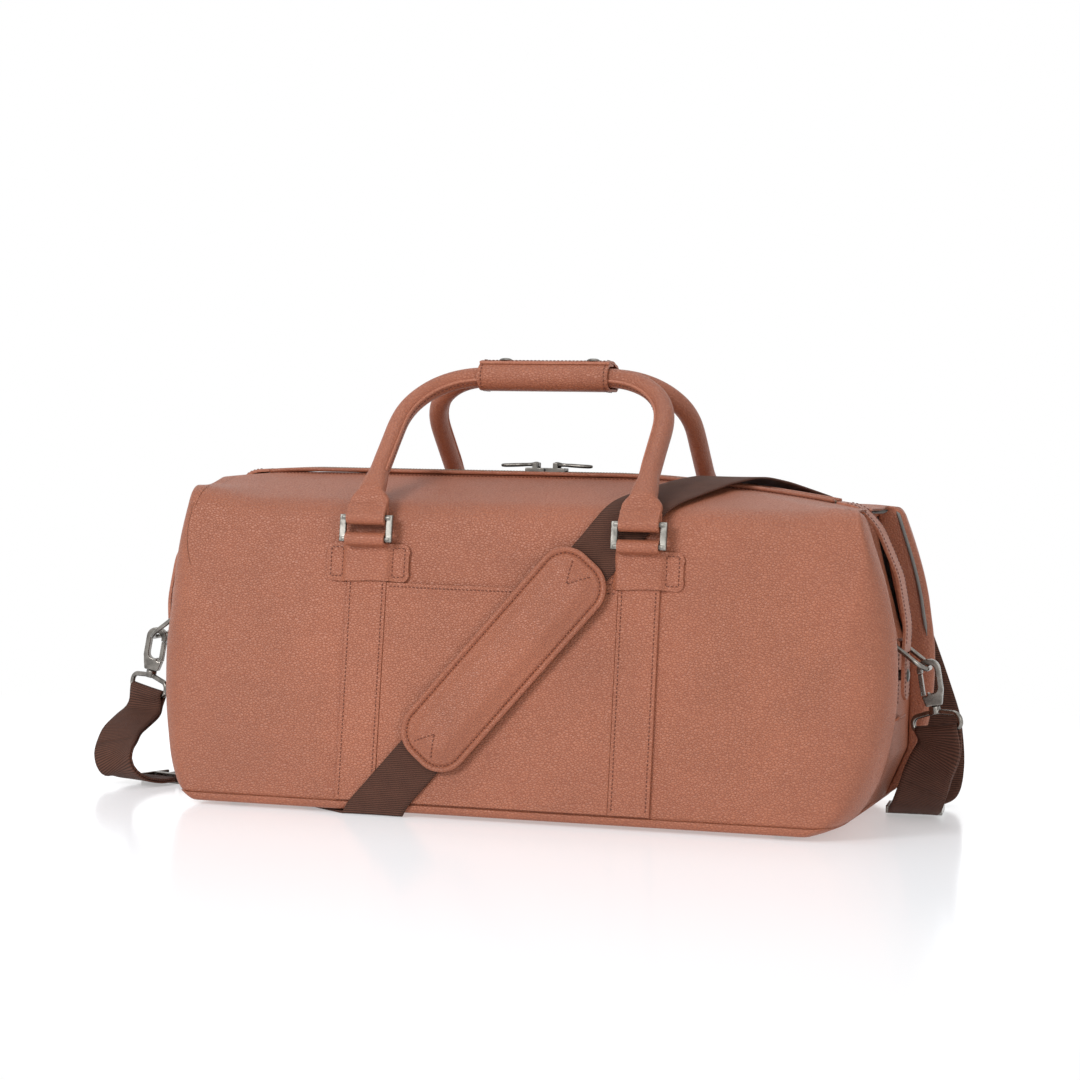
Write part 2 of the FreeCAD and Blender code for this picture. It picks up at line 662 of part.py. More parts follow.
def hook_body():
    """A cast snap hook: an oval eye with its inner side open for the gate."""
    half_t, w = S["hook_thickness"] / 2, S["hook_width"] / 2
    outline = [(-w, half_t, OPEN_LOW + 2), (-w, half_t, 7.4), (w, half_t, 7.4),
               (w, half_t, OPEN_LOW + 2), (6.2, half_t, HOOK_LOW), (-6.2, half_t, HOOK_LOW)]
    body = slab(outline, [6, 8.4, 8.4, 6, 1.5, 1.5], (0, -2 * half_t, 0))
    hole = [(-OPEN_HALF, 9, OPEN_LOW), (-OPEN_HALF, 9, OPEN_TOP),
            (OPEN_HALF, 9, OPEN_TOP), (OPEN_HALF, 9, OPEN_LOW)]
    body = body.cut(slab(hole, [4.5, 4.5, 4.5, 4.5], (0, -18, 0)))
    body = body.cut(block(-w - 1, -OPEN_HALF + 1.2, -9, 9, OPEN_LOW - 1.6, -3.2))
    return body.cut(Part.makeCylinder(POST_R + 0.08, 9, Vector(0, 0, HOOK_LOW - 1)))


def gate():
    shape = block(GATE_X - 1.7, GATE_X + 1.7, -2.1, 2.1, OPEN_LOW - 1.2, -3.6)
    return shape.cut(y_cylinder(0.88, 10, GATE_X, OPEN_LOW + 0.6))


def gate_pin():
    """A pin through the gate, with side plates of the hook that hold its ends."""
    return y_cylinder(0.8, 4.1, GATE_X, OPEN_LOW + 0.6)


EYE_R = S["eye_wire"]
EYE_HALF = S["eye_width"] / 2 - EYE_R
EYE_TOP = NECK_Z - 4.2
EYE_LOW = EYE_TOP - 13.5


def swivel_eye():
    """The strap's wire eye, its boss and the post that the hook turns on."""
    path = [(-2, 0, EYE_TOP), (-EYE_HALF, 0, EYE_TOP - 3), (-EYE_HALF, 0, EYE_LOW),
            (EYE_HALF, 0, EYE_LOW), (EYE_HALF, 0, EYE_TOP - 3), (2, 0, EYE_TOP)]
    wire = tube(path, [0, 6, 4, 4, 6, 0], EYE_R)
    boss = Part.makeCylinder(4.4, 6, Vector(0, 0, NECK_Z - 6))
    post = Part.makeCylinder(POST_R, 7, Vector(0, 0, NECK_Z - 1))
    return wire.fuse([boss, post])


def hung(shape, side, turned=False):
    shape.Placement = hang_frame(side, turned)
    return shape


stud_bases = []
for hand, side in HANDS.items():
    feature(f"{hand}_side_tab", side_tab(side))
    feature(f"{hand}_zip_wing", bent_strip(wing_path(side), -WING_SKIN, S["wing_width"] / 2, side))
    tab_low = PIN_Z - 0.4 - S["tab_length"]
    inner = wing_x(side)
    tab_half = S["tab_width"] / 2
    tab = block(inner, inner + WING_SKIN, -tab_half, tab_half, tab_low, PIN_Z - 0.4)
    stud_z = PIN_Z - 17
    bore = Part.makeCylinder(2.4, 20, Vector(inner - 5, 0, stud_z), Vector(1, 0, 0))
    cap = Part.makeCylinder(S["stud_radius"], 1.6, Vector(inner + WING_SKIN, 0, stud_z), Vector(1, 0, 0))
    base_x = wall_x(side) + 0.3 + TAB
    post = Part.makeCylinder(4.2, inner - base_x - 0.4, Vector(base_x, 0, stud_z), Vector(1, 0, 0))
    parts = {"wing_tab": tab.cut(bore), "stud_cap": cap}
    for name, shape in parts.items():
        shape = shape if side > 0 else shape.mirror(Vector(0, 0, 0), Vector(1, 0, 0))
        feature(f"{hand}_{name}", shape)
    stud_bases.append(post if side > 0 else post.mirror(Vector(0, 0, 0), Vector(1, 0, 0)))
    feature(f"{hand}_d_ring", d_ring(side))
    feature(f"{hand}_hook", hung(hook_body(), side))
    feature(f"{hand}_hook_gate", hung(gate(), side))
    feature(f"{hand}_gate_pin", hung(gate_pin(), side))
    feature(f"{hand}_swivel_eye", hung(swivel_eye(), side, turned=True))
group("stud_bases", stud_bases)


# ---------------------------------------------------------------- shoulder strap
WEB_HALF = S["webbing_width"] / 2
STRAP_ANGLE = math.radians(S["strap_angle_deg"])
STRAP_OUT = S["strap_leather"] + SEAT + 0.4
STRAP_FOOT_X = -94.0
BACK_FOLD_X = 212.0
STRAP_TOP = S["zip_height"] - 42
GROUND = 0.2
WEB_Z = 2.4
UP = Vector(0, 0, 1)


def flat(x, y, z, half_x, up):
    """A station whose cross line is parallel to X."""
    return Vector(x - half_x, y, z), Vector(x + half_x, y, z), up


def across(p, w, up, half=WEB_HALF):
    return p - w * half, p + w * half, up


def compass(degrees):
    a = math.radians(degrees)
    return Vector(math.cos(a), math.sin(a), 0)


# left end: out from under the base, folded over once, then forwards to the adjuster
left_adjuster = Vector(-(wall_x(-1) + 8), -8, 0)
left_heading = compass(253)
left_across = Vector(-left_heading.y, left_heading.x, 0)
fold_spot = left_adjuster - left_heading * 50
under_dir = Vector(fold_spot.x - STRAP_FOOT_X, fold_spot.y + S["base_half_depth"], 0).normalize()
fold_line = (under_dir + left_heading).normalize() * -1
fold_half = WEB_HALF / abs(fold_line.cross(under_dir).z)
fold_out = (under_dir - fold_line * under_dir.dot(fold_line)).normalize()
ADJ_HALF = S["adjuster_length"] / 2
TRAVEL = 12


def raised(p, z):
    return Vector(p.x, p.y, z)


stations = []
for step in (-(ADJ_HALF + 0.6), 18, ADJ_HALF + TRAVEL + 1):
    p = left_adjuster - left_heading * step
    stations.append(across(raised(p, WEB_Z + WEB), left_across, UP * -1))
upper = WEB_Z + 0.2 + WEB
stations.append(across(raised(fold_spot, upper), fold_line, UP * -1, fold_half))
stations.append(across(raised(fold_spot + fold_out * 2, WEB_Z), fold_line, fold_out * -1, fold_half))
stations.append(across(raised(fold_spot, GROUND), fold_line, UP, fold_half))

# under the base to the front edge, up the front face, over the top, down the back
y_front = -(S["base_half_depth"] + 1.4)
under_half = WEB_HALF / abs(under_dir.y)
front_half = WEB_HALF / math.cos(STRAP_ANGLE)
mean_half = (under_half + front_half) / 2


stations.append(flat(STRAP_FOOT_X, y_front, GROUND, mean_half, Vector(0, 0.5, 0.87)))
p = on_face(-1, STRAP_FOOT_X, STRAP_OUT + WEB, 2.5)
stations.append(flat(p.x, p.y, p.z, front_half, Vector(0, 0.9, 0.43)))
for s_up in (8, STRAP_TOP):
    p = on_face(-1, STRAP_FOOT_X + s_up * math.tan(STRAP_ANGLE), STRAP_OUT + WEB, s_up)
    stations.append(flat(p.x, p.y, p.z, front_half, Vector(0, COS, -SIN)))
face_top_x = STRAP_FOOT_X + STRAP_TOP * math.tan(STRAP_ANGLE)
OVER = [  # distance past the roof's edge, depth under the zip, share of the way across, direction
    (3.66, 28.0, 0.07, 0.85, -0.5), (-3.84, 19.7, 0.12, 0.5, -0.86), (-13.34, 16.0, 0.17, 0.3, -0.95),
    (-63.34, 3.6, 0.40, 0.2, -0.98), (-93.34, -0.4, 0.50, 0.04, -1.0),
]
roof_edge = face_y(240)
ridge = BACK_FOLD_X - face_top_x
for past, depth, share, uy, uz in OVER:
    y, z = roof_edge + past, S["zip_height"] - depth
    up = Vector(0, uy, uz).normalize()
    stations.append(flat(face_top_x + ridge * share * 0.96, -y, z, front_half, up))
for past, depth, share, uy, uz in reversed(OVER):
    y, z = roof_edge + past, S["zip_height"] - depth
    up = Vector(0, -uy, uz).normalize()
    stations.append(flat(face_top_x + ridge * (1 - share * 0.96), y, z, front_half, up))
for s_up, x in ((STRAP_TOP, BACK_FOLD_X), (150, 264)):
    p = on_face(1, x, STRAP_OUT + WEB, s_up)
    stations.append(flat(p.x, p.y, p.z, front_half, Vector(0, -COS, -SIN)))

# hanging free behind the right corner, down to the ground and forwards to the adjuster
right_adjuster = Vector(wall_x(1) + 10, 66, 0)
right_heading = compass(275)
right_across = Vector(-right_heading.y, right_heading.x, 0)
HANG = [  # x, y, z, towards the bag: y and z
    (283, 126.5, 112, -1.0, -0.02), (297, 128.5, 72, -1.0, 0.0), (301, 127.5, 38, -0.97, 0.24),
    (300.5, 122.0, 17, -0.72, 0.69), (298, 110.0, 5.0, -0.3, 0.95),
]
for x, y, z, uy, uz in HANG:
    stations.append(flat(x, y, z, WEB_HALF * 1.04, Vector(0, uy, uz).normalize()))
for step in (ADJ_HALF + TRAVEL + 1, -(ADJ_HALF + 0.6)):
    p = right_adjuster - right_heading * step
    stations.append(across(raised(p, WEB_Z), right_across, UP))

webbing = ribbon(stations, WEB)
# it is pressed in where it passes the right-hand strap's loop and the handle's foot
pinch = block(SPREAD - S["strap_width"] / 2 - 4, SPREAD + 40, -STANDOFF, 0, PLATE_S - 4, BAR_S + 7)
pinch.Placement = face_frame(-1)
handle_path = handle_points(-1, 0)
near_foot = tube(handle_path, [0, bend, bend, 0], HANDLE_R + CLEAR)
near_foot = near_foot.fuse(Part.makeSphere(HANDLE_R + CLEAR, Vector(*handle_path[3])))
webbing = webbing.cut(pinch).cut(near_foot)
feature("shoulder_webbing", webbing)


def smooth(points, steps=4):
    """Points of a Catmull-Rom curve through the given ones."""
    pts = [points[0] * 2 - points[1]] + points + [points[-1] * 2 - points[-2]]
    out = []
    for a, b, c, d in zip(pts, pts[1:], pts[2:], pts[3:]):
        for i in range(steps):
            k = i / steps
            out.append((b * 2 + (c - a) * k + (a * 2 - b * 5 + c * 4 - d) * k ** 2
                        + (b * 3 - a - c * 3 + d) * k ** 3) * 0.5)
    return out + [points[-1]]


def strap_loop(route, low_across, side):
    """Both plies of the strap's end, from the adjuster up and round the eye."""
    slim = EYE_HALF - EYE_R - 2.4
    frame = hang_frame(side, turned=True)
    eye = frame.multVec(Vector(0, 0, EYE_LOW))
    eye_across = frame.Rotation.multVec(Vector(1, 0, 0))
    drop = frame.Rotation.multVec(Vector(0, 0, -1))
    path = smooth(route + [eye + drop * 16, eye + drop * 10])
    across_at, normals, halves = [], [], []
    for i, p in enumerate(path):
        k = i / (len(path) - 1)
        w = (low_across * (1 - k) + eye_across * k).normalize()
        t = (path[min(i + 1, len(path) - 1)] - path[max(i - 1, 0)]).normalize()
        n = w.cross(t).normalize()
        across_at.append(t.cross(n).normalize())
        normals.append(n)
        halves.append(WEB_HALF + (slim - WEB_HALF) * max(0, 2 * k - 1))
    plies = list(zip(path, across_at, normals, halves))
    rows = [across(p + n * (0.15 + WEB), w, n * -1, half) for p, w, n, half in plies]
    wrap = EYE_R + CLEAR + WEB
    facing = eye_across.cross(drop * -1).normalize()
    for angle in range(-10, 191, 25):
        a = math.radians(angle)
        d = facing * math.cos(a) - drop * math.sin(a)
        rows.append(across(eye + d * wrap, eye_across, d * -1, slim))
    rows += [across(p - n * (0.15 + WEB), w, n, half) for p, w, n, half in reversed(plies)]
    return ribbon(rows, WEB)


PLY = WEB_Z + WEB + 0.15
start = left_adjuster + left_heading * (ADJ_HALF + 2.2)
LEFT_ROUTE = [raised(start, PLY), raised(start + left_heading * 14, PLY), Vector(-336, -53, 6.5),
              Vector(-344, -64, 15), Vector(-351, -58, 28), Vector(-354, -38, 43)]
feature("left_strap_loop", strap_loop(LEFT_ROUTE, left_across, -1))
start = right_adjuster + right_heading * (ADJ_HALF + 2.2)
RIGHT_ROUTE = [raised(start, PLY), raised(start + right_heading * 12, PLY), Vector(299, 22, 10),
               Vector(306, 8, 26), Vector(312, 2, 44)]
feature("right_strap_loop", strap_loop(RIGHT_ROUTE, right_across, 1))


def adjuster(centre, heading):
    """A three-bar slide: end bars under the webbing, the middle bar over it."""
    rail = WEB_HALF + 0.6
    top = WEB_Z + WEB + 2.1
    shape = block(-ADJ_HALF, ADJ_HALF, -rail - 2.6, -rail, 0.3, top)
    bars = [block(-ADJ_HALF, ADJ_HALF, rail, rail + 2.6, 0.3, top)]
    for x in (-ADJ_HALF, ADJ_HALF - 3.5):
        bars.append(block(x, x + 3.5, -rail - 1, rail + 1, 0.3, WEB_Z - 0.35))
    bars.append(block(-2.2, 2.2, -rail - 1, rail + 1, WEB_Z + WEB + 0.35, top))
    shape = shape.fuse(bars).removeSplitter()
    turn = math.degrees(math.atan2(heading.y, heading.x))
    shape.Placement = Placement(centre, Rotation(UP, turn))
    return shape


feature("left_adjuster", adjuster(left_adjuster, left_heading))
feature("right_adjuster", adjuster(right_adjuster, right_heading))


def pad_slab(length, width, corner, near, thickness):
    """A rounded plate over the front run of the webbing, turned along it."""
    corners = [(-width / 2, 0, -length / 2), (width / 2, 0, -length / 2),
               (width / 2, 0, length / 2), (-width / 2, 0, length / 2)]
    shape = slab(corners, [corner] * 4, (0, -thickness, 0))
    mid = 120
    spot = Vector(STRAP_FOOT_X + mid * math.tan(STRAP_ANGLE), -near, mid)
    turn = Rotation(Vector(0, 1, 0), S["strap_angle_deg"])
    shape.Placement = face_frame(-1).multiply(Placement(spot, turn))
    return shape


pad_near = STRAP_OUT + WEB + CLEAR
feature("pad_backing", pad_slab(S["pad_length"] - 14, S["pad_width"] - 10, 18, pad_near, 1.5))
feature("shoulder_pad", pad_slab(S["pad_length"], S["pad_width"], 23, pad_near + 1.5, S["pad_thickness"]))


# ---------------------------------------------------------------- check and write
doc.recompute()
used = set()
for obj in doc.Objects:
    used.update(o.Name for o in obj.OutList if o is not sheet)
nodes = [o for o in doc.Objects if hasattr(o, "Shape") and o.Name not in used]
for obj in doc.Objects:
    if "Invalid" in obj.State or "Error" in obj.State:
        raise RuntimeError(f"{obj.Label} failed: {obj.State}")
for obj in nodes:
    if obj.Shape.isNull() or not obj.Shape.isValid() or not obj.Shape.Solids:
        raise RuntimeError(f"{obj.Label} has no valid shape")
os.makedirs("parts", exist_ok=True)
for obj in nodes:
    obj.Shape.exportStep(f"parts/{obj.Label}.step")
    box = obj.Shape.BoundBox
    print(f"{obj.Label:22s} {len(obj.Shape.Solids)} solid(s) {obj.Shape.Volume:10.0f} mm3",
          f"x {box.XMin:.0f}..{box.XMax:.0f} y {box.YMin:.0f}..{box.YMax:.0f} "
          f"z {box.ZMin:.1f}..{box.ZMax:.0f}")
print(len(nodes), "nodes")
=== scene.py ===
"""Looks of a leather weekender bag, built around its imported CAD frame.

Sizes in the pieces' functions are millimetres and are turned to metres where a mesh is made.
"""

import math

import bmesh
import bpy
from mathutils import Matrix, Vector, noise


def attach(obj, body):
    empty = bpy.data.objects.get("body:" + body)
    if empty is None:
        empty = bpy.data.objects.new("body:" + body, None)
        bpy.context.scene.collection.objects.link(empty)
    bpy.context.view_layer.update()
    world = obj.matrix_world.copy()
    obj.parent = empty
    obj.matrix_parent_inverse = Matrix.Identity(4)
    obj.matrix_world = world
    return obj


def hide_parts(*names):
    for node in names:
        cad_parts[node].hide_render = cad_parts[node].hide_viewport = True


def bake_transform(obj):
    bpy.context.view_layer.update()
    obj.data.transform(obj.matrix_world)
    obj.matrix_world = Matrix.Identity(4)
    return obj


bl_info = {
    "name": "Leather weekender bag",
    "version": (1, 0, 0),
    "blender": (4, 5, 0),
    "location": "View3D > Sidebar > Bag",
    "description": "Models and finishes a leather weekender bag around its CAD frame",
    "category": "Add Mesh",
}

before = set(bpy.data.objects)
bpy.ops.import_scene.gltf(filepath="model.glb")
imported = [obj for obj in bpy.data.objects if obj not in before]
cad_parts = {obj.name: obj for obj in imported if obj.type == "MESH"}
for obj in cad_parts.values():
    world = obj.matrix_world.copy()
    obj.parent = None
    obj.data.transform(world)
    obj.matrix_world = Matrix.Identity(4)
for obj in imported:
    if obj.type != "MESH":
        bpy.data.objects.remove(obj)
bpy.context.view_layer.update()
MM = 0.001


# ---------------------------------------------------------------- sizes and colours
class BagSizes(bpy.types.PropertyGroup):
    grain: bpy.props.FloatProperty(
        name="Grain", description="Width of one pebble of the leather",
        default=1.9 * MM, unit="LENGTH", precision=5)
    stitch: bpy.props.FloatProperty(
        name="Stitch", description="Distance between two stitches",
        default=3.1 * MM, unit="LENGTH", precision=5)
    thread: bpy.props.FloatProperty(
        name="Thread", description="Thickness of the sewing thread",
        default=0.85 * MM, unit="LENGTH", precision=5)
    shell: bpy.props.FloatProperty(
        name="Shell", description="Thickness of the leather shell",
        default=2.2 * MM, unit="LENGTH", precision=5)
    rib: bpy.props.FloatProperty(
        name="Rib", description="Distance between two ribs of the webbing",
        default=1.9 * MM, unit="LENGTH", precision=5)
    slack: bpy.props.FloatProperty(
        name="Slack", description="Height of the soft waves in the shell",
        default=1.5 * MM, unit="LENGTH", precision=5)


class BagColours(bpy.types.PropertyGroup):
    leather: bpy.props.StringProperty(
        name="Leather", description="Waxed cognac leather, sRGB", default="A86548")
    # the crease colour is painted shade in the grain's valleys; the painted edges also use it for their
    # darker fibres
    deep: bpy.props.StringProperty(
        name="Creases", description="Leather in its creases, sRGB", default="94523A")
    edge: bpy.props.StringProperty(
        name="Edges", description="Painted cut edges, sRGB", default="B5775C")
    thread: bpy.props.StringProperty(
        name="Thread", description="Sewing thread, sRGB", default="5C2B1A")
    webbing: bpy.props.StringProperty(
        name="Webbing", description="Shoulder strap, sRGB", default="644032")
    lining: bpy.props.StringProperty(
        name="Lining", description="Twill lining, sRGB", default="8D8A86")
    nickel: bpy.props.StringProperty(
        name="Nickel", description="Satin nickel plate, sRGB", default="8D8A84")
    antique: bpy.props.StringProperty(
        name="Old nickel", description="Antique nickel plate, sRGB", default="8B8680")
    gunmetal: bpy.props.StringProperty(
        name="Gunmetal", description="Zip sliders and snaps, sRGB", default="6E6A65")


def sizes():
    return bpy.context.scene.bag_sizes


def colours():
    return bpy.context.scene.bag_colours


# ---------------------------------------------------------------- small arithmetic
def ease(t):
    t = min(max(t, 0.0), 1.0)
    return t * t * (3 - 2 * t)


def mix(a, b, t):
    return a + (b - a) * t


def lengths_along(points):
    """Length of a line up to each of its points."""
    out = [0.0]
    for a, b in zip(points, points[1:]):
        out.append(out[-1] + (b - a).length)
    return out


def tangent(line, i):
    """Direction of a line at its point i."""
    return (line[min(i + 1, len(line) - 1)] - line[max(i - 1, 0)]).normalized()


def wave(p, size, seed=0.0):
    """Smooth noise from -1 to 1 whose swells are about size millimetres wide."""
    return noise.noise(Vector((p.x / size + seed, p.y / size + seed * 1.7, p.z / size)))


# ---------------------------------------------------------------- mesh tools
def piece(name, bm, body, finish, nodes=(), smooth=True):
    """Makes the finished object of a mesh, hangs it on its body and hides the frame's parts that it stands
    for.
    """
    mesh = bpy.data.meshes.new(name)
    bm.to_mesh(mesh)
    bm.free()
    if smooth:
        mesh.shade_smooth()
    obj = bpy.data.objects.new(name, mesh)
    bpy.context.scene.collection.objects.link(obj)
    for material in finish if isinstance(finish, (list, tuple)) else [finish]:
        mesh.materials.append(material)
    if body:
        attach(obj, body)
    if nodes:
        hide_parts(*nodes)
    return obj


def skin(across, along, place, outward, size=(1.0, 1.0), closed=False):
    """A sheet whose points place(u, v) sets, u and v from 0 to 1, facing outward.

    size is the sheet's real width and length in millimetres, for the weave's UV map.
    """
    bm = bmesh.new()
    uv = bm.loops.layers.uv.new("sheet")
    bmesh.ops.create_grid(bm, x_segments=across, y_segments=along, size=0.5)
    for face in bm.faces:
        for loop in face.loops:
            co = loop.vert.co
            loop[uv].uv = ((co.x + 0.5) * size[0] * MM, (co.y + 0.5) * size[1] * MM)
    for vert in bm.verts:
        u, v = vert.co.x + 0.5, vert.co.y + 0.5
        vert.co = place(u, v) * MM
    if closed:
        bmesh.ops.remove_doubles(bm, verts=bm.verts, dist=2e-6)
    bm.normal_update()
    facing = 0.0
    for face in bm.faces:
        way = outward(face.calc_center_median() / MM) if callable(outward) else outward
        facing += face.normal.dot(way) * face.calc_area()
    if facing < 0:
        bmesh.ops.reverse_faces(bm, faces=bm.faces)
    return bm


def thicken(obj, thickness, bevel=0.0, smooth=False, offset=-1.0, edge_slot=None):
    """Gives a sheet its thickness, rounds its cut edges and smooths it."""
    solid = obj.modifiers.new("thickness", "SOLIDIFY")
    solid.thickness = thickness * MM
    solid.offset = offset
    if edge_slot is not None:
        solid.material_offset_rim = edge_slot
    if bevel:
        round_off = obj.modifiers.new("edges", "BEVEL")
        round_off.width = bevel * MM
        round_off.segments = 3
        round_off.limit_method = "ANGLE"
        round_off.angle_limit = math.radians(50)
    if smooth:
        smoothed(obj)
    return obj


def smoothed(obj):
    sub = obj.modifiers.new("smooth", "SUBSURF")
    sub.levels = 1
    sub.render_levels = 1


def swept(rows, start_closed=True):
    """A skin through closed rows of as many points, shut at its far end and, if asked, at its start."""
    bm = bmesh.new()
    bmesh.ops.create_circle(bm, segments=len(rows[0]), radius=1.0)
    verts, edges = list(bm.verts), list(bm.edges)
    first = list(edges)
    for k, row in enumerate(rows):
        if k:
            made = bmesh.ops.extrude_edge_only(bm, edges=edges)["geom"]
            bm.verts.index_update()
            verts = [g for g in made if isinstance(g, bmesh.types.BMVert)]
            verts.sort(key=lambda vert: vert.index)
            edges = [g for g in made if isinstance(g, bmesh.types.BMEdge)]
        for vert, p in zip(verts, row):
            vert.co = p * MM
    bmesh.ops.holes_fill(bm, edges=edges + (first if start_closed else []), sides=0)
    bmesh.ops.recalc_face_normals(bm, faces=bm.faces)
    return bm


def stitches(name, lines, body, lift=0.25, pitch=None, nodes=()):
    """Sewn thread along lines of (point, outward) pairs, one small spindle a stitch."""
    s = sizes()
    pitch = pitch or s.stitch / MM
    bm = bmesh.new()
    for line in lines:
        lengths = lengths_along([p for p, _ in line])
        count = max(int(lengths[-1] / pitch), 1)
        for i in range(count):
            middle = (i + 0.5) * lengths[-1] / count
            k = next((j for j in range(len(line) - 1) if lengths[j + 1] >= middle), len(line) - 2)
            share = (middle - lengths[k]) / max(lengths[k + 1] - lengths[k], 1e-6)
            p, q = line[k], line[k + 1]
            along = (q[0] - p[0]).normalized()
            up = p[1].lerp(q[1], share).normalized()
            side = along.cross(up).normalized()
            up = side.cross(along)
            # each stitch leans a little across its seam, as a lockstitch does
            along = (along + side * 0.1).normalized()
            side = along.cross(up).normalized()
            spot = p[0].lerp(q[0], share) + up * lift
            turn = Matrix((side, along, up)).transposed().to_4x4()
            turn.translation = spot * MM
            made = bmesh.ops.create_icosphere(bm, subdivisions=1, radius=1.0)
            half = pitch * 0.39 * MM
            shape = Matrix.Diagonal((s.thread * 0.5, half, s.thread * 0.42, 1.0))
            bmesh.ops.transform(bm, matrix=turn @ shape, verts=made["verts"])
    return piece(name, bm, body, thread_finish(), nodes)


def cast(node, body, finish, name, grain, rounds=3):
    """A cast or bent metal piece: the frame's own shape with its edges worn round, in steps of grain."""
    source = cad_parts[node]
    bm = bmesh.new()
    bm.from_mesh(source.data)
    bmesh.ops.remove_doubles(bm, verts=bm.verts, dist=1e-6)
    obj = piece(name, bm, None, finish)
    remesh = obj.modifiers.new("cast", "REMESH")
    remesh.mode = "VOXEL"
    remesh.voxel_size = grain * MM
    remesh.use_smooth_shade = True
    soften = obj.modifiers.new("worn", "SMOOTH")
    soften.factor = 0.5
    soften.iterations = rounds
    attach(obj, body)
    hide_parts(node)
    return obj


# ---------------------------------------------------------------- finishes
def linear(code):
    """An sRGB hex colour as linear RGBA."""
    out = []
    for i in (0, 2, 4):
        c = int(code[i:i + 2], 16) / 255
        out.append(c / 12.92 if c <= 0.04045 else ((c + 0.055) / 1.055) ** 2.4)
    return (*out, 1.0)


def add(tree, kind, inputs=None, stops=(), **settings):
    """Adds a node with its properties, its ramp's (position, colour) stops, and its inputs set or linked.

    A node that is given as an input is linked by its first output.
    """
    node = tree.nodes.new("ShaderNode" + kind)
    for key, value in settings.items():
        setattr(node, key, value)
    if stops:
        elements = node.color_ramp.elements
        for element, (position, colour) in ((elements[0], stops[0]), (elements[-1], stops[-1])):
            element.position = position
            element.color = colour
        for position, colour in stops[1:-1]:
            elements.new(position).color = colour
    for key, value in (inputs or {}).items():
        socket = node.inputs[key]
        if isinstance(value, bpy.types.Node):
            value = value.outputs[0]
        if isinstance(value, bpy.types.NodeSocket):
            tree.links.new(value, socket)
        else:
            socket.default_value = value
    return node


def grey(share):
    return (share, share, share, 1.0)


def shade(colour, share):
    """A linear colour made darker or lighter."""
    return (*(x * share for x in colour[:3]), 1.0)


FINISHES = {}


def finish_named(name, build):
    """Makes each material once."""
    if name not in FINISHES:
        material = bpy.data.materials.new(name)
        material.use_nodes = True
        tree = material.node_tree
        tree.nodes.clear()
        add(tree, "OutputMaterial", {"Surface": build(tree)})
        FINISHES[name] = material
    return FINISHES[name]


def leather_tree(tree, main, deep, grain, relief, roughness):
    """Drum-dyed cowhide, tumbled so that it pebbles: round grain whose valleys are darkened with painted
    shade in the crease colour.
    """
    here = add(tree, "TexCoord").outputs["Object"]
    warp = add(tree, "TexNoise", {"Vector": here, "Scale": 1 / (4.2 * MM), "Detail": 2.0}).outputs["Color"]
    shift = add(tree, "VectorMath", {0: warp, 1: (0.5, 0.5, 0.5)}, operation="SUBTRACT")
    scaled = add(tree, "VectorMath", {0: shift, "Scale": 1.5 * MM}, operation="SCALE")
    bent = add(tree, "VectorMath", {0: here, 1: scaled}, operation="ADD")
    drawn = add(tree, "Mapping", {"Vector": bent, "Rotation": (0.0, 0.5, 0.0), "Scale": (0.72, 1.0, 1.18)})
    cells = add(tree, "TexVoronoi", {"Vector": drawn, "Scale": 1 / grain}, feature="DISTANCE_TO_EDGE")
    pebble = add(tree, "ValToRGB", {"Fac": cells},
                 stops=[(0.0, grey(0.0)), (0.07, grey(0.6)), (0.3, grey(1.0))])
    fine = add(tree, "TexNoise", {"Vector": here, "Scale": 1 / (0.5 * MM), "Detail": 3.0})
    broad = add(tree, "TexNoise", {"Vector": here, "Scale": 1 / (75 * MM), "Detail": 3.0, "Roughness": 0.6})
    tone = add(tree, "ValToRGB", {"Fac": broad}, stops=[(0.3, grey(0.84)), (0.7, grey(1.0))])
    # painted shade: the crease colour darkens the pebbles' valleys, where their relief would fall into shade
    colour = add(tree, "Mix", {0: pebble, 6: linear(deep), 7: linear(main)}, data_type="RGBA").outputs[2]
    shaded = add(tree, "Mix", {0: 1.0, 6: colour, 7: tone}, data_type="RGBA",
                 blend_type="MULTIPLY").outputs[2]
    height = add(tree, "Math", {0: fine, 1: 0.1, 2: pebble}, operation="MULTIPLY_ADD")
    bump = add(tree, "Bump", {"Height": height, "Strength": relief, "Distance": 0.62 * MM})
    rough = add(tree, "MapRange", {0: pebble, 1: 0.0, 2: 1.0, 3: roughness + 0.14, 4: roughness})
    return add(tree, "BsdfPrincipled", {"Base Color": shaded, "Roughness": rough, "Normal": bump})


def leather_finish():
    """Leather of the panels, straps and handles."""
    def build(tree):
        return leather_tree(tree, colours().leather, colours().deep, sizes().grain, 0.6, 0.43)
    return finish_named("pebbled_cowhide", build)


def smooth_leather_finish():
    """Leather stretched over the pad and rolled into the welts: a finer grain with more gloss."""
    def build(tree):
        return leather_tree(tree, colours().leather, colours().deep, 1.7 * MM, 0.6, 0.38)
    return finish_named("pulled_up_cowhide", build)


def edge_finish():
    """Cut edges dyed and painted: the same colour, lighter, with no grain."""
    def build(tree):
        here = add(tree, "TexCoord").outputs["Object"]
        fibres = add(tree, "TexNoise", {"Vector": here, "Scale": 1 / (1.2 * MM), "Detail": 4.0})
        stops = [(0.3, linear(colours().deep)), (0.7, linear(colours().edge))]
        colour = add(tree, "ValToRGB", {"Fac": fibres}, stops=stops)
        bump = add(tree, "Bump", {"Height": fibres, "Strength": 0.3, "Distance": 0.1 * MM})
        return add(tree, "BsdfPrincipled", {"Base Color": colour, "Roughness": 0.5, "Normal": bump})
    return finish_named("painted_leather_edge", build)


def cut_leather():
    """A cut piece shows its grain side and its painted edge."""
    return [leather_finish(), edge_finish()]


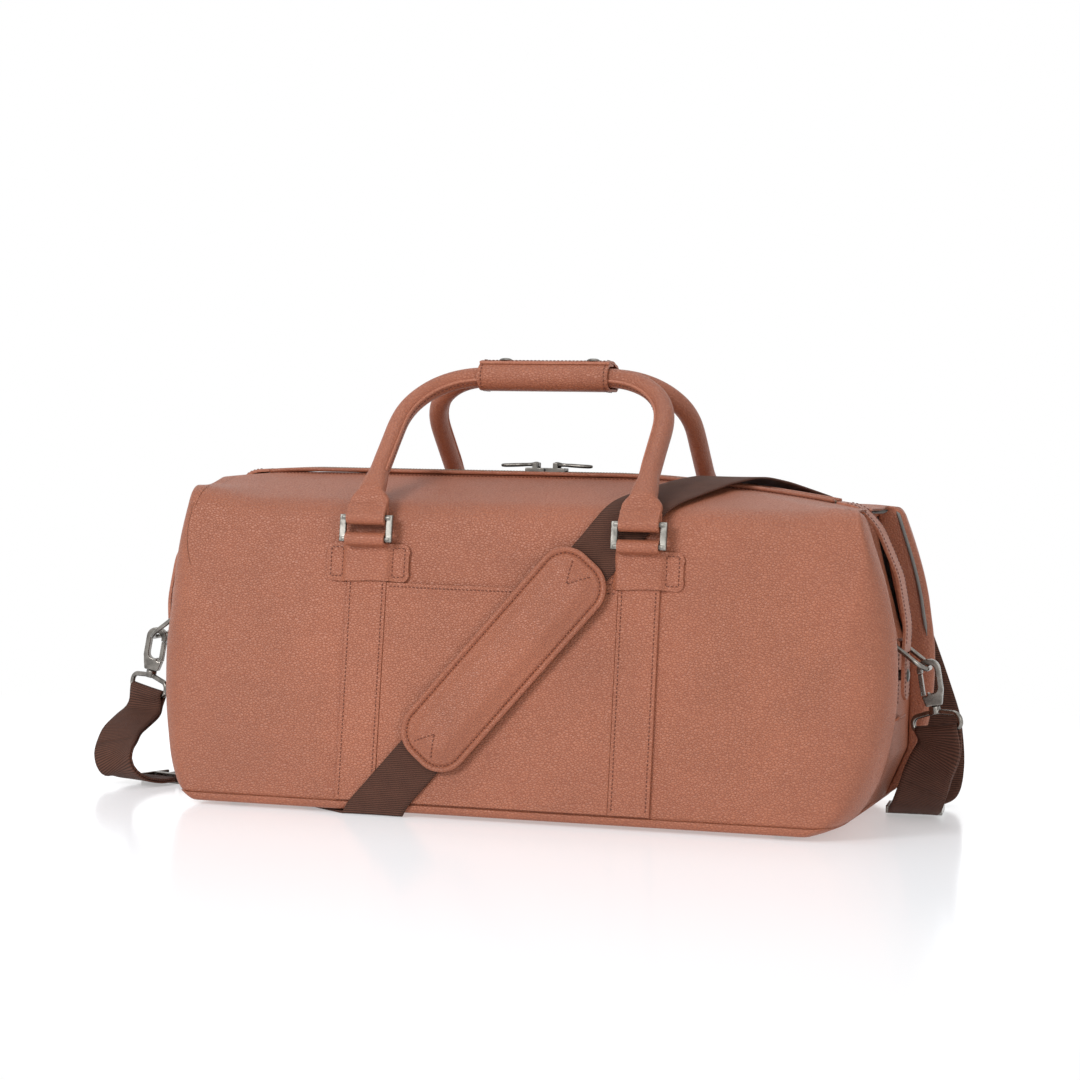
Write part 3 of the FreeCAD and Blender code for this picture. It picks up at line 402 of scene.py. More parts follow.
def suede_finish():
    """Split suede on the pad's back: a dark matt nap."""
    def build(tree):
        here = add(tree, "TexCoord").outputs["Object"]
        nap = add(tree, "TexNoise", {"Vector": here, "Scale": 1 / (0.8 * MM), "Detail": 5.0})
        colour = add(tree, "ValToRGB", {"Fac": nap},
                     stops=[(0.25, linear("2C1F1A")), (0.75, linear("4A3830"))])
        bump = add(tree, "Bump", {"Height": nap, "Strength": 0.5, "Distance": 0.2 * MM})
        return add(tree, "BsdfPrincipled", {"Base Color": colour, "Roughness": 0.95, "Normal": bump})
    return finish_named("split_suede", build)


def thread_finish():
    """Bonded nylon thread: twisted, so a fine slanted rib, with a slight gloss."""
    def build(tree):
        here = add(tree, "TexCoord").outputs["Object"]
        twist = add(tree, "TexWave", {"Vector": here, "Scale": 1 / (2.4 * MM), "Distortion": 0.5},
                    bands_direction="DIAGONAL")
        base = linear(colours().thread)
        stops = [(0.2, base), (0.9, shade(base, 1.35))]
        colour = add(tree, "ValToRGB", {"Fac": twist.outputs["Fac"]}, stops=stops)
        return add(tree, "BsdfPrincipled", {"Base Color": colour, "Roughness": 0.45})
    return finish_named("bonded_nylon_thread", build)


def webbing_finish():
    """Woven polyester webbing: ribs across it, and finer yarns along it."""
    def build(tree):
        split = add(tree, "SeparateXYZ", {0: add(tree, "UVMap", uv_map="sheet")})
        rib = add(tree, "Math", {0: split.outputs[1], 1: 2 * math.pi / sizes().rib}, operation="MULTIPLY")
        ribs = add(tree, "Math", {0: rib}, operation="SINE")
        yarn = add(tree, "Math", {0: split.outputs[0], 1: 2 * math.pi / (0.9 * MM)}, operation="MULTIPLY")
        yarns = add(tree, "Math", {0: yarn}, operation="SINE")
        weave = add(tree, "Math", {0: yarns, 1: 0.35, 2: ribs}, operation="MULTIPLY_ADD")
        level = add(tree, "MapRange", {0: weave, 1: -1.3, 2: 1.3, 3: 0.0, 4: 1.0})
        here = add(tree, "TexCoord").outputs["Object"]
        fuzz = add(tree, "TexNoise", {"Vector": here, "Scale": 1 / (12 * MM), "Detail": 4.0})
        main = linear(colours().webbing)
        colour = add(tree, "ValToRGB", {"Fac": level}, stops=[(0.1, shade(main, 0.3)), (0.7, main)])
        tone = add(tree, "ValToRGB", {"Fac": fuzz}, stops=[(0.3, grey(0.82)), (0.7, grey(1.0))])
        shaded = add(tree, "Mix", {0: 1.0, 6: colour, 7: tone}, data_type="RGBA",
                     blend_type="MULTIPLY").outputs[2]
        bump = add(tree, "Bump", {"Height": level, "Strength": 1.0, "Distance": 0.55 * MM})
        return add(tree, "BsdfPrincipled", {"Base Color": shaded, "Roughness": 0.72, "Normal": bump,
                                            "Specular IOR Level": 0.25})
    return finish_named("woven_polyester_webbing", build)


def cloth_finish(name, code, thread_mm):
    """Plain woven cloth, with threads that cross."""
    def build(tree):
        here = add(tree, "TexCoord").outputs["Object"]
        one = add(tree, "TexWave", {"Vector": here, "Scale": 0.5 / (thread_mm * MM), "Distortion": 0.4},
                  bands_direction="DIAGONAL")
        two = add(tree, "TexNoise", {"Vector": here, "Scale": 1 / (2 * thread_mm * MM), "Detail": 4.0})
        level = add(tree, "Math", {0: one.outputs["Fac"], 1: two}, operation="MULTIPLY")
        main = linear(code)
        colour = add(tree, "ValToRGB", {"Fac": level}, stops=[(0.1, shade(main, 0.6)), (0.6, main)])
        bump = add(tree, "Bump", {"Height": level, "Strength": 0.5, "Distance": 0.15 * MM})
        return add(tree, "BsdfPrincipled", {"Base Color": colour, "Roughness": 0.85, "Normal": bump})
    return finish_named(name, build)


def lining_finish():
    return cloth_finish("twill_lining", colours().lining, 0.5)


def metal_finish(name, code, roughness):
    """Plated zinc or steel, brushed before plating, darker and duller where it has worn."""
    def build(tree):
        here = add(tree, "TexCoord").outputs["Object"]
        stretched = add(tree, "Mapping", {"Vector": here, "Scale": (1.0, 1.0, 0.06)})
        brush = add(tree, "TexNoise", {"Vector": stretched, "Scale": 1 / (0.25 * MM), "Detail": 3.0})
        stain = add(tree, "TexNoise", {"Vector": here, "Scale": 1 / (7 * MM), "Detail": 4.0})
        main = linear(code)
        colour = add(tree, "ValToRGB", {"Fac": stain}, stops=[(0.28, shade(main, 0.46)), (0.6, main)])
        rough = add(tree, "MapRange", {0: stain, 1: 0.3, 2: 0.7, 3: roughness + 0.1, 4: roughness})
        bump = add(tree, "Bump", {"Height": brush, "Strength": 0.12, "Distance": 0.05 * MM})
        return add(tree, "BsdfPrincipled", {"Base Color": colour, "Metallic": 1.0, "Roughness": rough,
                                            "Normal": bump})
    return finish_named(name, build)


def nickel_finish():
    return metal_finish("satin_nickel_plate", colours().nickel, 0.42)


def antique_finish():
    return metal_finish("antique_nickel_plate", colours().antique, 0.2)


def gunmetal_finish():
    return metal_finish("gunmetal_plate", colours().gunmetal, 0.28)


def board_finish():
    """Grey board of pressed fibre, matt."""
    return cloth_finish("pressed_fibre_board", "3A3633", 0.8)


# ---------------------------------------------------------------- stage
CAMERA_AT = Vector((622.0, -1992.0, 283.0))
CAMERA_AIM = Vector((-4.7, 0.0, 210.0))
CAMERA_ROLL = math.radians(1.0)
CAMERA_LENS = 86.9


class BAG_OT_stage(bpy.types.Operator):
    """Pale floor, soft studio light and the camera"""
    bl_idname = "bag.stage"
    bl_label = "Stage"

    def execute(self, context):
        scene = context.scene
        scene.view_settings.view_transform = "Standard"
        self.floor(scene)
        self.world(scene)
        self.lamp("key_softbox", (-900, -1900, 1100), 900, 27)
        self.lamp("fill_softbox", (1600, -1500, 700), 1100, 9)
        self.lamp("top_softbox", (0, 300, 1900), 1500, 7)
        self.camera(scene)
        return {"FINISHED"}

    def floor(self, scene):
        bm = bmesh.new()
        bmesh.ops.create_circle(bm, cap_ends=True, segments=96, radius=9.0)
        mesh = bpy.data.meshes.new("floor")
        bm.to_mesh(mesh)
        bm.free()
        floor = bpy.data.objects.new("floor", mesh)
        scene.collection.objects.link(floor)
        mesh.materials.append(finish_named("polished_white_table", self.table_tree))

    def table_tree(self, tree):
        """Lacquered white board near the bag, which melts into the white room further out."""
        here = add(tree, "TexCoord").outputs["Object"]
        middle = add(tree, "VectorMath", {0: here, 1: (0.0, 0.0, 0.0)}, operation="DISTANCE")
        far = add(tree, "MapRange", {0: middle.outputs["Value"], 1: 0.42, 2: 1.0},
                  interpolation_type="SMOOTHSTEP")
        board = add(tree, "BsdfPrincipled", {"Base Color": linear("ECF0F5"), "Roughness": 0.16, "IOR": 1.35,
                                             "Emission Color": (1, 1, 1, 1), "Emission Strength": 0.36})
        room = add(tree, "Emission", {"Strength": 1.0})
        return add(tree, "MixShader", {0: far.outputs[0], 1: board.outputs[0], 2: room.outputs[0]}).outputs[0]

    def world(self, scene):
        world = bpy.data.worlds.new("white_room")
        world.use_nodes = True
        tree = world.node_tree
        tree.nodes.clear()
        path = add(tree, "LightPath")
        seen = add(tree, "Math", {0: path.outputs["Is Camera Ray"], 1: path.outputs["Is Glossy Ray"]},
                   operation="MAXIMUM")
        shown = add(tree, "Math", {0: seen.outputs[0], 1: path.outputs["Is Transmission Ray"]},
                    operation="MAXIMUM")
        strength = add(tree, "MapRange", {0: shown.outputs[0], 3: 0.42, 4: 1.0})
        glow = add(tree, "Background", {"Color": (1, 1, 1, 1), "Strength": strength.outputs[0]})
        out = tree.nodes.new("ShaderNodeOutputWorld")
        tree.links.new(glow.outputs[0], out.inputs["Surface"])
        scene.world = world

    def lamp(self, name, at, size, power):
        data = bpy.data.lights.new(name, "AREA")
        data.shape = "DISK"
        data.size = size * MM
        data.energy = power
        obj = bpy.data.objects.new(name, data)
        obj.location = Vector(at) * MM
        obj.rotation_euler = (Vector((0, 0, 120)) - Vector(at)).to_track_quat("-Z", "Y").to_euler()
        bpy.context.scene.collection.objects.link(obj)

    def camera(self, scene):
        data = bpy.data.cameras.new("camera")
        data.lens = CAMERA_LENS
        obj = bpy.data.objects.new("camera", data)
        aim = (CAMERA_AIM - CAMERA_AT).to_track_quat("-Z", "Y").to_matrix()
        obj.rotation_euler = (aim @ Matrix.Rotation(CAMERA_ROLL, 3, "Z")).to_euler()
        obj.location = CAMERA_AT * MM
        scene.collection.objects.link(obj)
        scene.camera = obj


# ---------------------------------------------------------------- leather body
BASE_Z = 3.0
SEAM_Z = 9.0
HALF_DEPTH = 131.0
LEAN = math.tan(math.radians(6.7))
ROOF_SLOPE = math.tan(math.radians(16.4))
ZIP_Z = 264.0
MOUTH = 12.0
GUSSET_HALF = 84.0
END_BASE = {-1: 254.0, 1: 250.0}
END_BULGE = {-1: 34.0, 1: 51.0}
END_TOP = {-1: 258.0, 1: 239.0}
LEVEL = {-1: 190.0, 1: 60.0}
FOLD = 22.0
EAR = {-1: 8.5, 1: 5.0}
SHOULDER_Z = 245.0
ZIP_INSET = 13.0
# shares of a panel's width and height: its rounded corners, its turned edges, its face and its roll
# onto the roof
CORNER_U = 0.12
EDGE_U = 0.03
FACE_V, ROLL_V = 0.66, 0.80
ROLL = 18.5
# height above the base, share of the end's bulge, growth of the corner's radius
BELLY = [(0, 0.0, 0.0), (11, 0.42, 0.3), (48, 0.82, 0.7), (107, 1.0, 1.0), (172, 0.86, 1.0), (242, 0.42, 1.0)]


def belly(h):
    """The end's bulge and corner growth at a height, smooth through their stations."""
    h = min(max(h, 0.0), 250.0)
    for i, (low, high) in enumerate(zip(BELLY, BELLY[1:])):
        if h <= high[0] or i == len(BELLY) - 2:
            a = Vector(BELLY[max(i - 1, 0)])
            b, c = Vector(low), Vector(high)
            d = Vector(BELLY[min(i + 2, len(BELLY) - 1)])
            k = (h - b.x) / (c.x - b.x)
            rise_b = (c.y - a.y) / max(c.x - a.x, 1e-6) * (c.x - b.x)
            rise_c = (d.y - b.y) / max(d.x - b.x, 1e-6) * (c.x - b.x)
            bulge = ((2 * k ** 3 - 3 * k ** 2 + 1) * b.y + (k ** 3 - 2 * k ** 2 + k) * rise_b
                     + (3 * k ** 2 - 2 * k ** 3) * c.y + (k ** 3 - k ** 2) * rise_c)
            return bulge, mix(b.z, c.z, min(k, 1.0))
    return 0.0, 1.0


def face_y(z):
    return HALF_DEPTH - LEAN * (z - BASE_Z)


def end_x(side, z):
    return END_BASE[side] + END_BULGE[side] * belly(z - BASE_Z)[0]


def notch(side):
    """How far out the roof's leather reaches beside the folded corner."""
    return end_x(side, SHOULDER_Z) - FOLD


def zip_span():
    return ZIP_INSET - notch(-1), notch(1) - ZIP_INSET


def top_z(x):
    """The zip line: level in the middle, drooping to each end."""
    side = -1 if x < 0 else 1
    past = abs(x) - LEVEL[side]
    if past <= 0:
        return ZIP_Z
    reach = end_x(side, SHOULDER_Z) - LEVEL[side]
    return ZIP_Z - (ZIP_Z - END_TOP[side]) * min(past / reach, 1.15) ** 1.6


def roof_z(x, y):
    """Height of the top's leather: two slopes that run out into the drooping ends."""
    slope = ZIP_Z - ROOF_SLOPE * (max(abs(y), MOUTH) - MOUTH)
    level = top_z(x)
    gap = (slope - level) / 9.0
    low = min(slope, level)
    # the corners stand up a little, like ears
    side = -1 if x < 0 else 1
    ear = EAR[side] * ease((abs(x) - end_x(side, SHOULDER_Z) + 58) / 50) * ease((abs(y) - 52) / 46)
    return low - 2.2 * math.exp(-gap * gap) + ear


def plan(u, z):
    """Panel outline at a height, front half: (x, y, share of the turn into the end)."""
    _, growth = belly(z - BASE_Z)
    r = 13 + 20 * growth
    xl, xr, y = -end_x(-1, z), end_x(1, z), face_y(z)
    for side, start in ((-1, u), (1, 1 - u)):
        x_end = xl if side < 0 else xr
        r *= mix(1.0, 0.42, ease((z - 150) / 75))
        if start < CORNER_U:
            turn = 1 - start / CORNER_U
            a = turn * math.pi / 2
            stretch = max(y - r - GUSSET_HALF, 0.0)
            deep = r + stretch * turn
            x = x_end - side * r * (1 - math.sin(a))
            return Vector((x, -(y - deep * (1 - math.cos(a))), turn * side))
    k = (u - CORNER_U) / (1 - 2 * CORNER_U)
    return Vector((mix(xl + r, xr - r, k), -y, 0.0))


def gusset_x(side, z):
    """How far out the folded-in end wall stands at a height."""
    if side < 0:
        return end_x(-1, z) - 4
    low = end_x(1, SEAM_Z)
    stops = [(0, low - 2), (SEAM_Z, low), (50, end_x(1, 50) - 10), (122, end_x(1, 110) - 20), (249, notch(1))]
    for (z0, x0), (z1, x1) in zip(stops, stops[1:]):
        if z <= z1:
            return mix(x0, x1, (z - z0) / (z1 - z0))
    return stops[-1][1]


def panel_point(u, v):
    """A point of the front panel: u runs round it from end to end, v up it to the zip."""
    lap = 0.0
    side = -1 if u < 0.5 else 1
    inner = (EDGE_U - u) / EDGE_U if side < 0 else (u - 1 + EDGE_U) / EDGE_U
    if inner > 0:
        lap = min(inner, 1.0)
    s = min(max((u - EDGE_U) / (1 - 2 * EDGE_U), 0.0), 1.0)
    corner = plan(s, 200).z
    roll = mix(ROLL, 7.0 if side < 0 else 5.0, abs(corner))
    # where the wall would meet the roof in this column
    edge = plan(s, 238)
    top = roof_z(edge.x, edge.y)
    edge = plan(s, top)
    notch_x = mix(notch(side) - 4, notch(side) + 6, abs(corner)) * side if corner else edge.x

    def over(distance):
        y = min(abs(edge.y), max(abs(edge.y) - distance, MOUTH))
        share = ease((91 - y) / 17 if side > 0 else (17 - y) / 4) if corner else 0.0
        x = mix(edge.x, notch_x, share)
        return Vector((x, -y, roof_z(x, y)))

    if v <= FACE_V:
        z = mix(SEAM_Z, top - roll, v / FACE_V)
        spot = plan(s, z)
        p = Vector((spot.x, spot.y, z))
    elif v <= ROLL_V:
        k = (v - FACE_V) / (ROLL_V - FACE_V)
        low = plan(s, top - roll)
        a, b, c = Vector((low.x, low.y, top - roll)), Vector((edge.x, edge.y, top)), over(roll)
        p = a * (1 - k) ** 2 + b * 2 * k * (1 - k) + c * k ** 2
    else:
        k = (v - ROLL_V) / (1 - ROLL_V)
        p = over(mix(roll, abs(edge.y) - MOUTH, k))
    if lap:
        # the cut edge turns in to meet the end wall, or down beside the zip's fold
        deep = max(end_x(side, p.z) - gusset_x(side, p.z), 3.0)
        wall = Vector((-side * deep, 0, 0))
        fold = Vector((-side * 5.0, 0, -12.0))
        way = wall.lerp(fold, ease((v - FACE_V - 0.06) / 0.1))
        turn_in = Vector((0, 2.5, 0)) * (1 - ease((v - FACE_V) / 0.1))
        p = p + way * lap + turn_in * math.sin(min(lap * 3, 1.0) * math.pi / 2)
    return p


def softened(p):
    """Adds the slow waves of hand-cut leather that stands by itself."""
    calm = ease((p.z - SEAM_Z) / 40) * (0.35 + 0.65 * ease((abs(p.x) - 120) / 90))
    lift = sizes().slack / MM * calm * (wave(p, 95, 3.1) + 0.45 * wave(p, 38, 8.4))
    away = Vector((0.15 * (1 if p.x > 0 else -1), 1.0 if p.y > 0 else -1.0, 0.3)).normalized()
    return p + away * lift


def outwards(p):
    return Vector((p.x * 0.35, p.y, (p.z - 120) * 1.2))


class BAG_OT_panels(bpy.types.Operator):
    """Front and back panel, each from the base seam over the roof to the zip"""
    bl_idname = "bag.panels"
    bl_label = "Panels"

    def execute(self, context):
        for name, side in (("front_panel", -1), ("back_panel", 1)):
            def place(u, v):
                p = panel_point(u, v)
                return softened(Vector((p.x, p.y * -side, p.z)) if side > 0 else p)
            bm = skin(150, 64, place, outwards)
            obj = piece(f"{name}_leather", bm, "root", cut_leather(), [name])
            thicken(obj, sizes().shell / MM, smooth=True, edge_slot=1)
        return {"FINISHED"}


class BAG_OT_gussets(bpy.types.Operator):
    """End walls: the right one folded in, the left one pushed out"""
    bl_idname = "bag.gussets"
    bl_label = "Gussets"

    def execute(self, context):
        for name, side in (("left_gusset", -1), ("right_gusset", 1)):
            def place(u, v):
                y = mix(-GUSSET_HALF - 0.6, GUSSET_HALF + 0.6, u)
                z = mix(SEAM_Z - 1, 240 if side > 0 else 246, v)
                x = gusset_x(side, z)
                if side < 0:
                    push = ease((GUSSET_HALF - abs(y)) / 42) * ease((z - 10) / 52) * ease((207 - z) / 44)
                    x += 24.5 * push
                else:
                    soft = ease((GUSSET_HALF - abs(y)) / 60) * ease((z - 20) / 60) * ease((230 - z) / 60)
                    x += 2.0 * soft
                    valley = math.exp(-((abs(y) - 66) / 13.0) ** 2)
                    x -= 26.0 * valley * ease((z - 105) / 90)
                crease = math.exp(-((abs(y) - 46 - 0.12 * z) / 5.0) ** 2)
                x -= 2.2 * crease * ease((z - 60) / 80) * ease((245 - z) / 40)
                x += 0.9 * wave(Vector((0, y, z)), 45, 5.5 + side)
                return Vector((side * x, y, z))
            bm = skin(60, 80, place, Vector((side, 0, 0)))
            obj = piece(f"{name}_leather", bm, "root", cut_leather(), [name])
            thicken(obj, sizes().shell / MM, smooth=True)
        return {"FINISHED"}


class BAG_OT_base(bpy.types.Operator):
    """Base panel, turned up to a seam just above the ground"""
    bl_idname = "bag.base"
    bl_label = "Base"

    def execute(self, context):
        # how far out of the panels' outline, and the height
        rings = [(0.75, SEAM_Z + 0.6), (1.0, SEAM_Z), (0.9, 7.4), (0.5, 5.6), (-0.8, 4.0), (-2.6, 3.2),
                 (-5.5, BASE_Z)]
        around = 192

        def rim(k, out, z):
            """The rounded-rectangle outline at a height, pushed out by out."""
            half = k * 2 % 2.0
            s = half if half <= 1 else 2 - half
            spot = plan(s, z)
            y = spot.y if half <= 1 else -spot.y
            if s in (0.0, 1.0):
                y = 0.0
            p = Vector((spot.x, y, z))
            way = Vector((p.x * 0.05, p.y, 0)) if abs(spot.z) < 0.4 else Vector((p.x, p.y * 1.4, 0))
            return p + way.normalized() * out

        bm = swept([[rim(i / around, out, z) for i in range(around)] for out, z in rings], start_closed=False)
        obj = piece("base_leather", bm, "root", cut_leather(), ["base_panel"])
        thicken(obj, sizes().shell / MM)
        return {"FINISHED"}


# ---------------------------------------------------------------- faces' own frame
UP, ACROSS = Vector((0, 0, 1)), Vector((1, 0, 0))
SIN, COS = math.sin(math.radians(6.7)), math.cos(math.radians(6.7))
SPREAD = 109.0
STANDOFF = 9.8
BAR_S = 208.5
PITCH = 16.6
PLATE_S, PLATE_TALL, PLATE_HALF = 176.7, 29.0, 33.5
STRAP_HALF = 16.0
LOOP_MID = 4.05
LOOP_SKIN = 3.2
FACES = (("front", -1), ("back", 1))
HANDS = (("left", -1), ("right", 1))


def face_point(side, x, out, s):
    """A point at x, out from the face and s up it; side is -1 in front and 1 behind."""
    return Vector((x, side * (HALF_DEPTH - s * SIN + out * COS), BASE_Z + s * COS + out * SIN))


def face_out(side):
    return Vector((0, side * COS, SIN))


def resampled(points, step):
    """Points every step millimetres or so along a polyline."""
    out = [points[0]]
    for a, b in zip(points, points[1:]):
        count = max(int((b - a).length / step), 1)
        out += [a.lerp(b, (i + 1) / count) for i in range(count)]
    return out


def eased_line(points, rounds):
    """Rounds a polyline's corners by averaging each point with its neighbours."""
    for _ in range(rounds):
        middle = [(a + b * 2 + c) * 0.25 for a, b, c in zip(points, points[1:], points[2:])]
        points = [points[0], *middle, points[-1]]
    return points


def arc(centre, radius, start, stop, count):
    """(s, out) points round a centre, angles from the outward direction towards up the face."""
    return [Vector((centre[0] + radius * math.sin(math.radians(mix(start, stop, i / count))),
                    centre[1] + radius * math.cos(math.radians(mix(start, stop, i / count)))))
            for i in range(count + 1)]


def strip_skin(path, half_width, to_world, outward):
    """A strap along a path of (s, out) pairs, flat across its width."""
    last = len(path) - 1

    def place(u, v):
        spot = path[round(v * last)]
        return to_world(mix(-half_width, half_width, u), spot.y, spot.x)

    return skin(8, last, place, outward, (2 * half_width, lengths_along(path)[-1]))


class BAG_OT_straps(bpy.types.Operator):
    """Leather straps up both faces, each looped round the lower bar of its ring"""
    bl_idname = "bag.straps"
    bl_label = "Face straps"

    def execute(self, context):
        rise = [Vector((8, 1.3)), Vector((200, 1.3)), Vector((203, 2.6)), Vector((204.9, 7.0))]
        loop = arc((BAR_S, STANDOFF), LOOP_MID, -70, 190, 22)
        tail = [Vector((206.6, 4.2)), Vector((203.4, 3.9))]
        path = resampled(rise, 2.5) + loop + tail
        for face, side in FACES:
            for hand, sx in HANDS:
                x0 = sx * SPREAD * -side

                def place(x, out, s):
                    return face_point(side, x0 + x, out, s)

                name = f"{face}_strap_{hand}"
                bm = strip_skin(path, STRAP_HALF, place, face_out(side))
                obj = piece(f"{name}_leather", bm, "root", cut_leather(), [name])
                thicken(obj, 2.4, 0.35, True, 0.0, 1)
                lines = []
                for edge in (-1, 1):
                    across = edge * (STRAP_HALF - 2.8)
                    lines.append([(place(across, 2.45, s), face_out(side)) for s in (11, PLATE_S - 1)])
                stitches(f"{name}_sewing", lines, "root")
        return {"FINISHED"}


def plate_out(x):
    """How far the plate's middle surface stands off the face: it arches over its strap."""
    return 1.15 + 2.75 * ease((STRAP_HALF + 4.4 - abs(x)) / 4.0)


class BAG_OT_plates(bpy.types.Operator):
    """Cross plates stitched over the straps below the rings"""
    bl_idname = "bag.plates"
    bl_label = "Plates"

    def execute(self, context):
        low, high, radius = PLATE_S, PLATE_S + PLATE_TALL, 5.0

        def flat(u, v):
            x = -PLATE_HALF * math.cos(math.pi * u)
            dx = max(abs(x) - PLATE_HALF + radius, 0.0)
            cut = radius - math.sqrt(max(radius ** 2 - dx ** 2, 0.0))
            sag = 0.5 * math.sin(x * 0.11 + 0.6) * (1 - v)
            return x, mix(low + cut + sag, high - cut, v)

        for face, side in FACES:
            for hand, sx in HANDS:
                x0 = sx * SPREAD * -side

                def place(u, v):
                    x, s = flat(u, v)
                    edge = min(v, 1 - v) * PLATE_TALL
                    return face_point(side, x0 + x, plate_out(x) + 0.35 * ease(edge / 6), s)

                name = f"{face}_plate_{hand}"
                bm = skin(56, 22, place, face_out(side))
                obj = piece(f"{name}_leather", bm, "root", cut_leather(), [name])
                thicken(obj, 2.0, 0.35, True, 0.0, 1)
                lines = []
                for edge in (-1, 1):
                    outer, inner = edge * (PLATE_HALF - 3.2), edge * (STRAP_HALF + 4.6)
                    bottom, top = low + 3.4, high - 3.2
                    corners = [(inner, bottom), (inner, top), (outer, top), (outer, bottom), (inner, bottom)]
                    lines.append([(face_point(side, x0 + x, plate_out(x) + 1.35, s), face_out(side))
                                  for x, s in corners])
                stitches(f"{name}_sewing", lines, "root")
        return {"FINISHED"}


class BAG_OT_pocket(bpy.types.Operator):
    """Slip pocket between the two front straps, its top edge turned and stitched"""
    bl_idname = "bag.pocket"
    bl_label = "Slip pocket"

    def execute(self, context):
        half = SPREAD - STRAP_HALF - 0.35
        top = PLATE_S - 0.4

        def surface(x, s, out=0.0):
            soft = ease((half - abs(x)) / 16) * ease((s - 12) / 20)
            dip = 1.2 * (1 - (x / half) ** 2) * ease((s - top + 40) / 40)
            gape = 0.9 * math.cos(x / half * math.pi / 2) * ease((s - top + 14) / 14)
            lift = 0.5 * soft * wave(Vector((x, 0, s)), 48, 2.2)
            return face_point(-1, x, 1.15 + gape + lift + out, s - dip)

        bm = skin(90, 70, lambda u, v: surface(mix(-half, half, u), mix(8, top, v)), face_out(-1))
        obj = piece("front_pocket_leather", bm, "root", cut_leather(), ["front_pocket"])
        thicken(obj, 1.9, 0.3, False, 0.0, 1)
        xs = [mix(-half + 2, half - 2, i / 40) for i in range(41)]
        stitches("front_pocket_sewing", [[(surface(x, top - 3.0, 1.05), face_out(-1)) for x in xs]], "root")
        return {"FINISHED"}


# ---------------------------------------------------------------- lining and edges
LINING_DEPTH = 3.6
WELT_Y = 14.2


class BAG_OT_lining(bpy.types.Operator):
    """Twill lining just inside the leather of both faces"""
    bl_idname = "bag.lining"
    bl_label = "Lining"

    def execute(self, context):
        for name, side in FACES:
            def place(u, v):
                s, h = mix(EDGE_U + 0.02, 1 - EDGE_U - 0.02, u), v * 0.98
                p = panel_point(s, h)
                out = (panel_point(s + 0.004, h) - p).cross(panel_point(s, h + 0.01) - p).normalized()
                p = p - out * math.copysign(LINING_DEPTH, out.dot(outwards(p)))
                return softened(Vector((p.x, p.y * -side, p.z)))
            bm = skin(90, 40, place, lambda p: -outwards(p))
            obj = piece(f"{name}_lining_cloth", bm, "root", lining_finish(), ["lining"])
            thicken(obj, 0.6)
        return {"FINISHED"}


class BAG_OT_welts(bpy.types.Operator):
    """Rolled leather welt along each side of the zip"""
    bl_idname = "bag.welts"
    bl_label = "Welts"

    def execute(self, context):
        left, right = zip_span()
        for name, side in FACES:
            def core(x):
                return Vector((x, side * WELT_Y, roof_z(x, 13) + 1.6))

            def place(u, v):
                x = mix(left, right, v)
                turn = u * 2 * math.pi
                slack = 0.35 * wave(Vector((x, 0, 0)), 30, 1.4)
                return core(x) + Vector((0, side * 2.3 * math.cos(turn), 1.7 * math.sin(turn) + slack))

            bm = skin(14, 120, place, lambda p: p - core(p.x), closed=True)
            bmesh.ops.holes_fill(bm, edges=bm.edges, sides=0)
            piece(f"{name}_zip_welt", bm, "root", smooth_leather_finish())
            xs = [mix(left + 3, right - 3, i / 60) for i in range(61)]
            row = [(Vector((x, side * 19.0, roof_z(x, 19) + 0.15)), Vector((0, side * 0.3, 1))) for x in xs]
            stitches(f"{name}_zip_welt_sewing", [row], "root")
        return {"FINISHED"}


# ---------------------------------------------------------------- carrying handles
HANDLE_R = 7.75
CORD_R = 5.0
HANDLE_TOP = 340.0
HANDLE_BEND = 56.0
FOOT_Y, FOOT_Z = 105.17, 247.63
SPADE_LEAN = math.radians(25)


def rounded_line(points, radius, steps=14):
    """Straight runs joined by arcs at the inner corners."""
    out = [points[0]]
    for a, p, b in zip(points, points[1:], points[2:]):
        into, onto = (a - p).normalized(), (b - p).normalized()
        half = into.angle(onto) / 2
        reach = radius / math.tan(half)
        centre = p + (into + onto).normalized() * (radius / math.sin(half))
        start, stop = p + into * reach - centre, p + onto * reach - centre
        out += [centre + start.slerp(stop, i / steps).normalized() * radius for i in range(steps + 1)]
    return out + [points[-1]]


def section_tube(stations, around=28):
    """A closed skin through (centre, wide axis, thin axis, half width, half depth, squareness)."""
    rows = []
    for centre, wide, thin, half_width, half_depth, power in stations:
        row = []
        for i in range(around):
            turn = 2 * math.pi * i / around
            c, s = math.cos(turn), math.sin(turn)
            x = math.copysign(abs(c) ** (2 / power), c) * half_width
            y = math.copysign(abs(s) ** (2 / power), s) * half_depth
            row.append(centre + wide * x + thin * y)
        rows.append(row)
    return swept(rows)


def handle_line(side):
    """Centre line of a handle from foot to foot."""
    foot_y, top_y = side * FOOT_Y, side * (HANDLE_R + 0.45)
    corners = [Vector((-SPREAD, foot_y, FOOT_Z)), Vector((-SPREAD, top_y, HANDLE_TOP)),
               Vector((SPREAD, top_y, HANDLE_TOP)), Vector((SPREAD, foot_y, FOOT_Z))]
    return rounded_line(corners, HANDLE_BEND)


def handle_across(side):
    """The direction square to the plane that a handle leans in."""
    lean = Vector((0, side * (HANDLE_R + 0.45 - FOOT_Y), HANDLE_TOP - FOOT_Z))
    return ACROSS.cross(lean).normalized()


